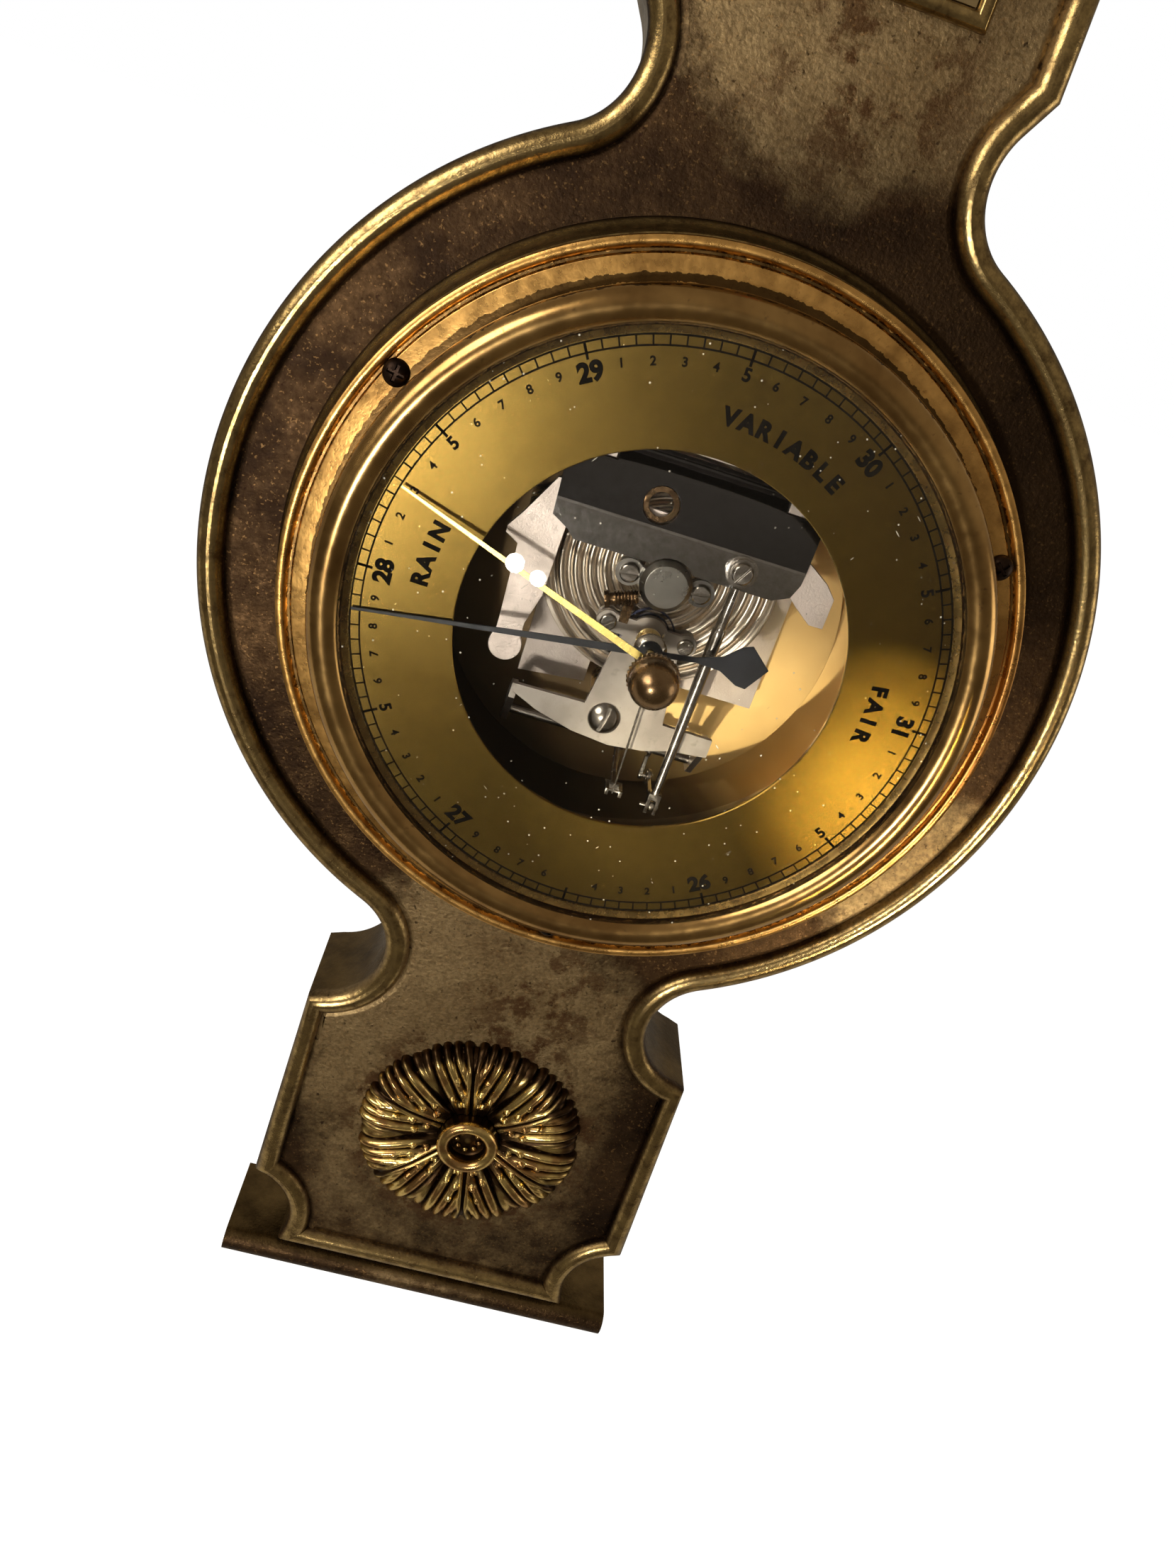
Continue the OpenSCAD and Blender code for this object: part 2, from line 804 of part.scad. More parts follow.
spindle_r = 1.1;
bush_top = glass_top + 0.5;
module glass_bush() {
    color([0.6, 0.47, 0.24])
        difference() {
            union() {
                translate([0, 0, glass_top - glass_t - 0.4])
                    cylinder(h = bush_top - glass_top + glass_t + 0.4, r = glass_hole_r - run_gap);
                translate([0, 0, glass_top])
                    cylinder(h = 0.5, r = 3);
            }
            translate([0, 0, 5])
                cylinder(h = 10, r = spindle_r + run_gap);
        }
}
washer_t = 0.4;
module friction_washer() {
    color([0.5, 0.5, 0.48])
        translate([0, 0, bush_top])
            difference() {
                cylinder(h = washer_t, r = 2.7);
                translate([0, 0, -1])
                    cylinder(h = 3, r = spindle_r + 0.08);
            }
}

// Knob with neck, milled collar and dome, in one piece with its spindle
knob_base = bush_top + washer_t + 0.1;
collar_z = knob_z - 3.4;
collar_r = knob_r + 0.3;
mill_n = 36;
set_hub_z = 6.5;
module set_knob() {
    color([0.5, 0.32, 0.17]) {
        difference() {
            union() {
                translate([0, 0, set_hub_z])
                    cylinder(h = collar_z - set_hub_z, r = spindle_r);
                translate([0, 0, knob_base])
                    cylinder(h = collar_z - knob_base, r = 2.3);
                translate([0, 0, collar_z])
                    cylinder(h = 1.7, r = collar_r);
                translate([0, 0, collar_z + 1.7])
                    cylinder(h = knob_z - collar_z - 1.7, r = knob_r);
                translate([0, 0, knob_z])
                    intersection() {
                        sphere(r = knob_r);
                        cylinder(h = knob_r + 1, r = knob_r + 1);
                    }
            }
            for (i = [0 : mill_n - 1])
                rotate(i * 360 / mill_n)
                    translate([collar_r - 0.12, -0.14, collar_z + 0.2])
                        cube([1, 0.28, 1.2]);
        }
    }
}

// Thin brass set hand under the glass, sloping down to follow the dome
set_tip_z = 1.35;
module set_hand() {
    slope = atan2(set_hub_z - set_tip_z, set_len - 2);
    color([0.85, 0.68, 0.3])
        rotate(set_dir) {
            difference() {
                translate([0, 0, set_hub_z])
                    cylinder(h = 1, r = 2.1);
                translate([0, 0, set_hub_z - 1])
                    cylinder(h = 3, r = spindle_r + 0.02);
            }
            translate([1.9, 0, set_hub_z])
                rotate([0, slope, 0])
                    linear_extrude(0.28)
                        polygon([
                            [0, -0.7], [0, 0.7], [set_len - 1.9, 0.2], [set_len - 1.9, -0.2]
                        ]);
        }
}

module dial() {
    color([0.52, 0.42, 0.18])
        difference() {
            translate([0, 0, -dial_t])
                cylinder(h = dial_t, r = dial_r, $fn = 128);
            translate([0, 0, -dial_t - 1])
                cylinder(h = dial_t + 2, r = dial_open_r, $fn = 128);
        }
}

// Lacquered disc that carries the movement, on three pillars from the drum's floor
disc_r = 38.7;
adjust_y = 30;
adjust_r = 1.5;
pillar_a = [30, 150, 270];
pillar_r = 2.5;
pillar_place = disc_r - 5.7;
module base_disc() {
    color([0.76, 0.58, 0.27])
        difference() {
            translate([0, 0, disc_top - disc_t])
                cylinder(h = disc_t, r = disc_r, $fn = 96);
            translate([0, adjust_y, disc_top - disc_t - 1])
                cylinder(h = disc_t + 2, r = adjust_r + run_gap, $fn = 32);
        }
}
module base_pillars() {
    color([0.7, 0.56, 0.28])
        for (a = pillar_a)
            rotate(a)
                translate([pillar_place, 0, drum_in])
                    cylinder(h = disc_top - disc_t - drum_in, r = pillar_r, $fn = 32);
}

// Steel base of the bridge, with a rear wall and two ears for the leaf's root
leaf_pivot_z = -8;
root_r = 1.1;
ear_x1 = 15.2;
ear_x2 = 18;
wall_y1 = leaf_pivot_y + 2.1;
wall_y2 = leaf_pivot_y + 3.5;
module spring_bridge() {
    color([0.5, 0.5, 0.49])
        difference() {
            union() {
                plate_at(base_plate_z, base_plate_t)
                    polygon([
                        [-20, wall_y2], [-20, -17.4], [-7.2, -16], [-7.2, -11.8],
                        [25.2, -11.8], [25.2, 27], [18, wall_y2]
                    ]);
                translate([-ear_x2, wall_y1, base_plate_top])
                    cube([2 * ear_x2, wall_y2 - wall_y1, -5.5 - base_plate_top]);
                for (s = [-1, 1])
                    translate([s > 0 ? ear_x1 : -ear_x2, leaf_pivot_y - 2.4, base_plate_top])
                        cube([ear_x2 - ear_x1, wall_y1 - leaf_pivot_y + 2.4,
                              -5.5 - base_plate_top]);
            }
            pin_x(-ear_x2 - 1, ear_x2 + 1, leaf_pivot_y, leaf_pivot_z, root_r + run_gap);
        }
}
post_spots = [[-15, -9], [20, -8], [-14, 29], [15, 29]];
module bridge_posts() {
    color([0.62, 0.58, 0.48])
        for (p = post_spots)
            translate([p[0], p[1], disc_top])
                cylinder(h = base_plate_z - disc_top, r = 2.2, $fn = 32);
}

// Pale front plate with a rounded foot on the left and a nose on the right
front_z = -7.4;
front_t = 1;
foot_lobe = [-24.1, -8.4];
nose = [26.4, 14.2];
arm_top = [-25.4, 14];
plate_spots = [foot_lobe, [27, 14], arm_top];
module front_plate() {
    color([0.6, 0.58, 0.57])
        difference() {
            plate_at(front_z, front_t)
                    polygon(concat(flat_arc(foot_lobe, 3, 40, -220, 20), [
                        [-26.4, -3], [-26.9, 9.6], [-29.4, 11], [-29.4, 12.2],
                        [-27.2, 15.6], [-23.4, 22.6], [18, 21.9], [22.6, 21.2], [26.5, 18.8],
                        [28.6, 16.6], [28.6, 11], [26, 11], [22.6, 13.4], [18, 17.4],
                        [-19.7, 18], [-20.2, 2], [-21.8, -3.6]
                    ]));
            for (p = plate_spots)
                translate([p[0], p[1], front_z - 1])
                    cylinder(h = 3, r = 0.75, $fn = 24);
        }
}
module plate_pillars() {
    color([0.62, 0.58, 0.48])
        for (p = plate_spots)
            translate([p[0], p[1], disc_top])
                difference() {
                    cylinder(h = front_z - disc_top, r = 1.3, $fn = 32);
                    translate([0, 0, front_z - disc_top - 4])
                        cylinder(h = 5, r = 0.72, $fn = 24);
                }
}
module plate_screws() {
    color([0.55, 0.55, 0.54])
        for (p = plate_spots)
            translate([p[0], p[1], front_z + front_t])
                slotted_screw(1.25, 0.7, 0.66, 4, 60);
}

// Corrugated vacuum capsule, ridges from a cosine of the radius
cap_mid = -16.3;
cap_half = 2.9;
boss_r = 5.2;
boss_top = -10.6;
cap_post_r = 2.5;
ridge_h = 0.45;
rim_from = cap_r - 1.2;
ridge_steps = 6 * cap_ridges;
module capsule() {
    pitch = (rim_from - boss_r) / cap_ridges;
    top = [
        for (i = [0 : ridge_steps])
            let (r = boss_r + (rim_from - boss_r) * i / ridge_steps)
                [r, cap_mid + cap_half + ridge_h * cos(360 * (r - boss_r) / pitch)]
    ];
    color([0.72, 0.7, 0.64])
        translate([cap_x, cap_y, 0])
            difference() {
                union() {
                    rotate_extrude($fn = 96)
                        polygon(concat(
                            [[0, cap_mid - cap_half], [0, cap_mid + cap_half]],
                            top,
                            [[cap_r - 0.6, cap_mid + 0.7], [cap_r, cap_mid + 0.6],
                             [cap_r, cap_mid - 0.6], [cap_r - 0.6, cap_mid - 0.7],
                             [rim_from, cap_mid - cap_half]]
                        ));
                    translate([0, 0, capsule_seat])
                        cylinder(h = cap_mid - cap_half + 1 - capsule_seat, r = boss_r);
                    translate([0, 0, cap_mid])
                        cylinder(h = boss_top - cap_mid, r = boss_r);
                }
                translate([0, 0, boss_top - 3])
                    cylinder(h = 5, r = cap_post_r + run_gap);
            }
}

// Clamp on the capsule's post: lower plate with ears, upper cap with ears
ear_span = 6.5;
ear_r = 2.45;
clamp_z = -8.3;
clamp_t = 1.3;
ear_t = 1.2;
cap_screw_r = 0.85;
module ear_pair(z, t) {
    plate_at(z, t)
        difference() {
            union() {
                for (s = [-1, 1])
                    translate([s * ear_span, 0])
                        circle(r = ear_r, $fn = 40);
                translate([-ear_span, -1.6])
                    square([2 * ear_span, 3.2]);
            }
            for (s = [-1, 1])
                translate([s * ear_span, 0])
                    circle(r = cap_screw_r + 0.05, $fn = 24);
        }
}
module capsule_post() {
    color([0.6, 0.6, 0.58])
        translate([cap_x, cap_y, 0]) {
            translate([0, 0, boss_top - 2])
                cylinder(h = clamp_z - boss_top + 2.4, r = cap_post_r);
            ear_pair(clamp_z, clamp_t);
        }
}
module capsule_cap() {
    color([0.66, 0.66, 0.64])
        translate([cap_x, cap_y, clamp_z + clamp_t]) {
            ear_pair(0, ear_t);
            cylinder(h = 3.2, r = 4.6);
            translate([0, 0, 3.2])
                cylinder(h = 1.1, r1 = 4.6, r2 = 3.7);
        }
}
module cap_screws() {
    color([0.6, 0.6, 0.58])
        for (s = [-1, 1])
            translate([cap_x + s * ear_span, cap_y, clamp_z + clamp_t + ear_t])
                slotted_screw(1.75, 1, cap_screw_r, clamp_t + ear_t, 8);
}

// Spring leaf: flat nose over the capsule, sloping back to a root bead
leaf_front = -3.5;
leaf_t = 1.1;
leaf_nose = 13.9;
leaf_fold = 19.9;
leaf_back = 28.4;
leaf_back_z = -5;
leaf_left = -23.2;
leaf_right = 22;
notch_r = 4.9;
module leaf_section() {
    polygon([
        [leaf_nose, leaf_front - leaf_t], [leaf_nose, leaf_front],
        [leaf_fold, leaf_front], [leaf_back, leaf_back_z],
        [leaf_back + 1.2, leaf_back_z - 0.6], [leaf_pivot_y + 1, leaf_pivot_z],
        [leaf_pivot_y - 1, leaf_pivot_z], [leaf_back, leaf_back_z - leaf_t],
        [leaf_fold, leaf_front - leaf_t]
    ]);
}
module main_spring() {
    color([0.44, 0.45, 0.46])
        difference() {
            union() {
                intersection() {
                    rotate([90, 0, 90])
                        translate([0, 0, leaf_left])
                            linear_extrude(leaf_right - leaf_left)
                                leaf_section();
                    translate([0, 0, -12])
                        linear_extrude(12)
                            union() {
                                polygon([
                                    [leaf_left, leaf_back], [leaf_left + 0.5, 17],
                                    [leaf_left + 3.6, leaf_nose + 1.4],
                                    [leaf_left + 5, leaf_nose], [leaf_right - 4.5, leaf_nose],
                                    [leaf_right - 1.6, leaf_nose + 1.4],
                                    [leaf_right - 0.6, leaf_nose + 4], [leaf_right, leaf_back]
                                ]);
                                translate([fit_gap - ear_x1, leaf_back - 1])
                                    square([2 * (ear_x1 - fit_gap), 8]);
                            }
                }
                pin_x(-ear_x2 + 0.2, ear_x2 - 0.2, leaf_pivot_y, leaf_pivot_z, root_r);
            }
            translate([cap_x, cap_y, -12])
                cylinder(h = 12, r = notch_r);
            translate([eyelet[0], eyelet[1], -12])
                cylinder(h = 12, r = 3.2, $fn = 40);
            translate([rod_screw_p[0], rod_screw_p[1], -12])
                cylinder(h = 12, r = 0.95, $fn = 24);
        }
}
eyelet = [-5.7, 23.6];
module spring_eyelet() {
    color([0.6, 0.44, 0.16])
        translate([eyelet[0], eyelet[1], leaf_back_z - 0.8])
            difference() {
                cylinder(h = 1, r = 3.1, $fn = 40);
                translate([0, 0, -1])
                    cylinder(h = 3, r = 2.1, $fn = 40);
            }
}

// Long rod from the leaf to the link: eye, swelling and forked end
rod_screw_p = [10.8, 17.2];
rod_eye_t = 0.8;
rod_z1 = leaf_front + 1.15;
rod_z2 = -3.4;
rod_z3 = rod_z2 - 0.3;
prong_x = 0.55;
link_pin_r = 0.35;
module main_rod() {
    color([0.62, 0.62, 0.6]) {
        difference() {
            union() {
                translate([rod_screw_p[0], rod_screw_p[1], leaf_front])
                    cylinder(h = rod_eye_t, r = 2.8, $fn = 40);
                translate([rod_screw_p[0] - 0.7, rod_screw_p[1] - 3.5, leaf_front + 0.1])
                    cube([1.4, 3, rod_eye_t - 0.2]);
                bar([10.8, 14.5, rod_z1], [10.75, 5.4, rod_z2], 0.8, 1.05);
                bar([10.75, 6.4, rod_z2 + 0.1], [rod_x, rod_end_y + 2.1, rod_z3], 1.25, 0.75);
                translate([rod_x - 1.15, rod_end_y - 1.2, rod_z3 - 0.9])
                    cube([2.3, 4, 1.8]);
            }
            translate([rod_x - prong_x, rod_end_y - 2, rod_z3 - 2])
                cube([2 * prong_x, 3.6, 4]);
            translate([rod_screw_p[0], rod_screw_p[1], -12])
                cylinder(h = 12, r = 0.95, $fn = 24);
        }
        pin_x(rod_x - 2.2, rod_x + 1.4, rod_end_y, rod_z3, link_pin_r);
    }
}
module rod_screw() {
    color([0.58, 0.54, 0.48])
        translate([rod_screw_p[0], rod_screw_p[1], leaf_front + rod_eye_t]) {
            cylinder(h = 0.4, r = 2.4, $fn = 40);
            translate([0, 0, 0.4])
                slotted_screw(1.9, 1.3, 0.9, 0.4 + rod_eye_t + leaf_t, 60);
        }
}

// Link from the rod's end down to the rocking shaft's short arm
crank_pin_r = 0.45;
link_eye_gap = 0.5;
link_eye_r = crank_pin_r + link_eye_gap;
module link() {
    w = 0.7;
    color([0.58, 0.58, 0.56])
        difference() {
            union() {
                pin_x(rod_x - w / 2, rod_x + w / 2, rod_end_y, rod_z3, 1);
                pin_x(rod_x - w / 2, rod_x + w / 2, rod_end_y, rock_z, link_eye_r + 0.6);
                translate([rod_x - w / 2, rod_end_y - 0.4, rock_z + link_eye_r + 0.2])
                    cube([w, 0.8, rod_z3 - 0.6 - rock_z - link_eye_r - 0.2]);
            }
            pin_x(rod_x - 2, rod_x + 2, rod_end_y, rod_z3, link_pin_r + run_gap);
            pin_x(rod_x - 2, rod_x + 2, rod_end_y, rock_z, link_eye_r);
        }
}

// Rocking shaft with its short crank arm and crank pin
shaft_left = -20.5;
shaft_right = 17.6;
crank_x = rod_x - 1.6;
module rocking_shaft() {
    color([0.56, 0.56, 0.54]) {
        pin_x(shaft_left, shaft_right, rock_y, rock_z, rock_r);
        pin_x(crank_x - 0.4, crank_x + 0.4, rock_y, rock_z, 1.7);
        pin_x(crank_x - 0.35, crank_x + 0.35, rod_end_y, rock_z, 0.9);
        translate([crank_x - 0.3, rod_end_y, rock_z - 0.7])
            cube([0.6, rock_y - rod_end_y, 1.4]);
        pin_x(crank_x, rod_x + 0.6, rod_end_y, rock_z, crank_pin_r);
    }
}

// Tall arm with a fork that pulls the chain
fork_p = [2.6, -28.5, -3];
fork_in = 0.95;
fork_out = 1.6;
fork_pin_r = 0.3;
module chain_fork() {
    hub_w = 1.2;
    color([0.62, 0.62, 0.6])
        difference() {
            union() {
                pin_x(fork_p[0] - hub_w, fork_p[0] + hub_w, rock_y, rock_z, 1.8);
                bar([fork_p[0], rock_y - 0.9, rock_z + 0.8],
                    [fork_p[0], fork_p[1] + 1.1, fork_p[2] - 8], 0.7, 0.6);
                bar([fork_p[0], fork_p[1] + 1.1, fork_p[2] - 8],
                    [fork_p[0], fork_p[1], fork_p[2] - 2.4], 0.6, 0.6);
                translate([fork_p[0] - fork_out, fork_p[1] - 0.6, fork_p[2] - 3])
                    cube([2 * fork_out, 1.2, 1]);
                for (s = [-1, 1])
                    translate([fork_p[0] + s * (fork_in + fork_out) / 2 - 0.325,
                               fork_p[1] - 0.6, fork_p[2] - 3])
                        cube([0.65, 1.2, 4.1]);
                pin_x(fork_p[0] - fork_out, fork_p[0] + fork_out, fork_p[1], fork_p[2],
                      fork_pin_r);
            }
            pin_x(fork_p[0] - 3, fork_p[0] + 3, rock_y, rock_z, rock_r);
        }
}

// Fine chain, drawn as a round bar with an eye, from the fork to the arbor's pulley
pulley_r = 1.5;
chain_r = 0.22;
chain_top = [pulley_r + chain_r + 0.1, 3, fork_p[2]];
module chain() {
    color([0.7, 0.7, 0.68])
        difference() {
            union() {
                bar([fork_p[0], fork_p[1] + 0.5, fork_p[2]], chain_top, chain_r, chain_r);
                pin_x(fork_p[0] - 0.4, fork_p[0] + 0.4, fork_p[1], fork_p[2], 0.75);
            }
            pin_x(fork_p[0] - 2, fork_p[0] + 2, fork_p[1], fork_p[2], fork_pin_r + run_gap);
        }
}

// Arbor with the pulley for the chain and the collet for the hairspring
hand_z = 0.6;
hand_t = 0.35;
collet_r = 1.3;
hair_z = -10.7;
hair_h = 0.8;
module arbor() {
    color([0.6, 0.58, 0.5]) {
        translate([0, 0, cock_top - cock_t])
            cylinder(h = hand_z + hand_t + 0.9 - cock_top + cock_t, r = arbor_r);
        translate([0, 0, hair_z - 0.1])
            cylinder(h = hair_h + 0.4, r = collet_r);
        translate([0, 0, -5.6])
            cylinder(h = 3.2, r = pulley_r);
        for (z = [-6, -2.4])
            translate([0, 0, z])
                cylinder(h = 0.4, r = 2.3);
    }
}
module hand_boss() {
    color([0.62, 0.6, 0.58])
        difference() {
            union() {
                translate([0, 0, -1.7])
                    cylinder(h = 0.9, r1 = 2.4, r2 = 3);
                translate([0, 0, -0.8])
                    cylinder(h = 0.6, r = 3);
                translate([0, 0, -0.2])
                    cylinder(h = hand_z + 0.2, r1 = 3, r2 = 2.2);
            }
            translate([0, 0, -3])
                cylinder(h = 6, r = arbor_r + 0.02);
        }
}

// Blued pressure hand with a pierced centre and a diamond counterweight
tail_r = 20.8;
module pressure_hand() {
    color([0.05, 0.06, 0.08])
        rotate(hand_dir)
            difference() {
                plate_at(hand_z, hand_t)
                    polygon(concat(
                        [[hand_len, -0.22], [hand_len, 0.22]],
                        flat_arc([0, 0], 2.1, 20, 166, 14),
                        [[-8, 0.45], [-12.5, 1.3], [-15.6, 3.5], [-17.4, 3.9],
                         [-tail_r, 0], [-17.4, -3.9], [-15.6, -3.5], [-12.5, -1.3],
                         [-8, -0.45]],
                        flat_arc([0, 0], 2.1, 194, 340, 14)
                    ));
                translate([0, 0, hand_z - 1])
                    cylinder(h = 3, r = arbor_r + 0.02);
            }
}

// Lower cock under the hairspring, with a boss up to the bridge
cock_spot = [-2.8, -17.2];
cross_spots = [[-7.7, 0.6], [6.9, 0.2]];
bridge_shank_r = 1.2;
module arbor_cock() {
    color([0.5, 0.5, 0.48])
        difference() {
            union() {
                plate_at(cock_top - cock_t, cock_t)
                    union() {
                        circle(r = 2.6);
                        translate(cock_spot)
                            circle(r = 3);
                        polygon([[-2.6, 0], [2.6, 0], [0.2, -17.2], [-5.8, -17.2]]);
                        for (p = cross_spots)
                            translate(p)
                                circle(r = 1.9, $fn = 40);
                        polygon([[-7.7, -0.8], [-7.7, 2.2], [6.9, 1.6], [6.9, -1.2]]);
                    }
                translate([cock_spot[0], cock_spot[1], cock_top])
                    cylinder(h = bridge_top - bridge_t - cock_top, r = 2.4);
                for (p = cross_spots)
                    translate([p[0], p[1], cock_top])
                        cylinder(h = bridge_top - bridge_t - cock_top, r = 1, $fn = 32);
            }
            translate([0, 0, cock_top - 3])
                cylinder(h = 6, r = arbor_r + run_gap);
            translate([cock_spot[0], cock_spot[1], cock_top - 3])
                cylinder(h = 8, r = bridge_shank_r + 0.05);
            for (p = cross_spots)
                translate([p[0], p[1], cock_top - 3])
                    cylinder(h = 8, r = 0.55, $fn = 24);
        }
}
module bridge_pillar() {
    color([0.64, 0.6, 0.5])
        translate([cock_spot[0], cock_spot[1], disc_top])
            difference() {
                cylinder(h = cock_top - cock_t - disc_top, r = 2.4);
                translate([0, 0, cock_top - cock_t - disc_top - 5])
                    cylinder(h = 6, r = bridge_shank_r + 0.03);
            }
}

// Front bridge: post plate with the arbor's bearing, cross arm, wide bar and bent ears
bar_left = -20.7;
bar_right = 17.8;
ear_t2 = 1.2;
ear_foot = rock_z - 2.4;
module arbor_bridge() {
    color([0.55, 0.54, 0.52])
        difference() {
            union() {
                plate_at(bridge_top - bridge_t, bridge_t)
                    union() {
                        circle(r = 3.6);
                        polygon([
                            [-3.4, 1], [-5, -2.2], [-7, -15.4], [bar_left, -15.6],
                            [bar_left, -17], [-15.3, -19.4], [-8, -21.4], [-0.5, -22.2],
                            [6, -21.4], [11, -19.9], [bar_right, -19.2], [bar_right, -15.6],
                            [8, -15.4], [6.4, -2.2], [3.4, 1]
                        ]);
                        for (p = cross_spots)
                            translate(p)
                                circle(r = 2.1, $fn = 40);
                        polygon([[-7.7, -1], [-7.7, 2.4], [6.9, 1.8], [6.9, -1.4]]);
                    }
                for (x = [bar_left, bar_right - ear_t2])
                    translate([x, 0, 0])
                        rotate([90, 0, 90])
                            linear_extrude(ear_t2)
                                polygon([
                                    [-16, bridge_top - bridge_t], [-19, bridge_top - bridge_t],
                                    [rock_y - 2.2, rock_z + 1], [rock_y - 2.2, ear_foot],
                                    [rock_y + 2.2, ear_foot], [-17, rock_z + 3]
                                ]);
            }
            translate([0, 0, -12])
                cylinder(h = 8, r = arbor_r + run_gap);
            translate([cock_spot[0], cock_spot[1], -12])
                cylinder(h = 8, r = bridge_shank_r + 0.05);
            for (p = cross_spots)
                translate([p[0], p[1], -12])
                    cylinder(h = 8, r = 0.55, $fn = 24);
            pin_x(bar_left - 1, bar_right + 1, rock_y, rock_z, rock_r + run_gap);
        }
}
module bridge_screw() {
    color([0.6, 0.6, 0.58])
        translate([cock_spot[0], cock_spot[1], bridge_top]) {
            difference() {
                intersection() {
                    cylinder(h = 2, r = 3);
                    translate([0, 0, -1.8])
                        sphere(r = 3.7);
                }
                rotate(80)
                    translate([-4, -0.35, 0.9])
                        cube([8, 0.7, 3]);
            }
            translate([0, 0, -7.5])
                cylinder(h = 7.5, r = bridge_shank_r, $fn = 24);
        }
}
module cross_screws() {
    color([0.52, 0.5, 0.46])
        for (p = cross_spots)
            translate([p[0], p[1], bridge_top])
                slotted_screw(1.5, 0.9, 0.5, 3.6, 40);
}

// Hairspring: a flat spiral strip, one unbroken run from the collet to the stud
hair_in = collet_r + 0.25;
hair_out = 5.4;
hair_w = 0.28;
hair_seg = 24;
hair_start = 150;
hair_pitch = (hair_out - hair_in) / hair_turns;
echo(hairspring_gap = hair_pitch - hair_w);
module hairspring() {
    n = hair_turns * hair_seg;
    pts = [
        for (i = [0 : n])
            let (
                a = hair_start + 360 * i / hair_seg,
                r = hair_in + hair_pitch * i / hair_seg
            )
                each [
                    [r * cos(a), r * sin(a), hair_z],
                    [(r + hair_w) * cos(a), (r + hair_w) * sin(a), hair_z],
                    [(r + hair_w) * cos(a), (r + hair_w) * sin(a), hair_z + hair_h],
                    [r * cos(a), r * sin(a), hair_z + hair_h]
                ]
    ];
    sides = [
        for (i = [0 : n - 1])
            for (k = [0 : 3])
                let (b = 4 * i, k2 = (k + 1) % 4)
                    each [
                        [b + k, b + 4 + k, b + 4 + k2],
                        [b + k, b + 4 + k2, b + k2]
                    ]
    ];
    color([0.12, 0.14, 0.24])
        polyhedron(
            points = pts,
            faces = concat(sides, [[0, 1, 2, 3]], [[4 * n + 3, 4 * n + 2, 4 * n + 1, 4 * n]]),
            convexity = 10
        );
}

// Ribbed brass barrel on the bridge's cross arm, with the post that takes the
// hairspring's outer end
stud_r = hair_out + hair_w + 0.5;
module hairspring_stud() {
    p = [-8.9, 4.4, bridge_top - 0.4];
    q = [-3.9, 6.3, bridge_top - 0.4];
    post = [stud_r * cos(hair_start), stud_r * sin(hair_start)];
    color([0.62, 0.47, 0.2]) {
        bar(p, q, 1.15, 1.15);
        for (i = [0 : 6])
            let (f = 0.22 + 0.11 * i)
                bar(p + (q - p) * f, p + (q - p) * (f + 0.05), 1.4, 1.4);
        bar(p - (q - p) * 0.12, p + (q - p) * 0.04, 1.6, 1.6);
        translate([post[0], post[1], hair_z - 0.1])
            cylinder(h = bridge_top - hair_z + 0.4, r = 0.42, $fn = 24);
        translate([post[0] - 0.7, 1.3, bridge_top])
            cube([1.7, 4.4, 0.6]);
    }
}

// Adjusting screw from the back up to the bridge's base plate
module adjusting_screw() {
    color([0.62, 0.48, 0.22])
        difference() {
            translate([0, adjust_y, drum_floor - 0.3])
                cylinder(h = base_plate_z - drum_floor + 0.2, r = adjust_r, $fn = 32);
            translate([-3, adjust_y - 0.3, drum_floor - 1])
                cube([6, 0.6, 1.6]);
        }
}

at_dial() case_shell();
at_dial() base_moulding();
at_dial() back_cover();
at_dial() cover_posts();
at_dial() cover_screws();
at_dial() hanger_plate();
at_dial() hanger_rivets();
at_dial() wall_pads();
at_dial() seat_ring();
at_dial() rosette();
at_dial() rosette_button();
at_dial() rosette_nut();
at_dial() thermometer_frame();
at_dial() thermometer_plate();
at_dial() thermometer_tube();
at_dial() thermometer_liquid();
at_dial() tube_clips();
at_dial() clip_screws();
at_dial() drum();
at_dial() flange_ring();
at_dial() flange_screws();
at_dial() bezel();
at_dial() glass();
at_dial() sight_ring();
at_dial() glass_bush();
at_dial() friction_washer();
at_dial() dial();
at_dial() base_disc();
at_dial() base_pillars();
at_dial() spring_bridge();
at_dial() bridge_posts();
at_dial() front_plate();
at_dial() plate_pillars();
at_dial() plate_screws();
at_dial() capsule();
at_dial() arbor_cock();
at_dial() bridge_pillar();
at_dial() arbor_bridge();
at_dial() bridge_screw();
at_dial() cross_screws();
at_dial() hairspring();
at_dial() hairspring_stud();
at_dial() set_knob();
at_dial() set_hand();
at_dial() arbor();
at_dial() hand_boss();
at_dial() pressure_hand();
at_dial() main_spring();
at_dial() spring_eyelet();
at_dial() main_rod();
at_dial() rod_screw();
at_dial() link();
at_dial() capsule_post();
at_dial() capsule_cap();
at_dial() cap_screws();
at_dial() rocking_shaft();
at_dial() chain_fork();
at_dial() chain();
at_dial() adjusting_screw();
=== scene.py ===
# %% [markdown]
# # A wall barometer in a pressed brass case
#
# The part is an aneroid barometer. Its case is pressed from thin brass sheet, with a
# half round bead along the whole outline, a cast rosette on the lower panel and a
# thermometer in the upper one. The dial is open in the middle, so the movement behind
# it can be seen through a domed glass.
#
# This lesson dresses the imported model. Each cell makes one group of pieces or one
# finish, and says how the real piece is made and why it is modelled that way.

import math

import bmesh
import bpy
import numpy as np
from mathutils import Matrix, Vector
from mathutils.geometry import tessellate_polygon


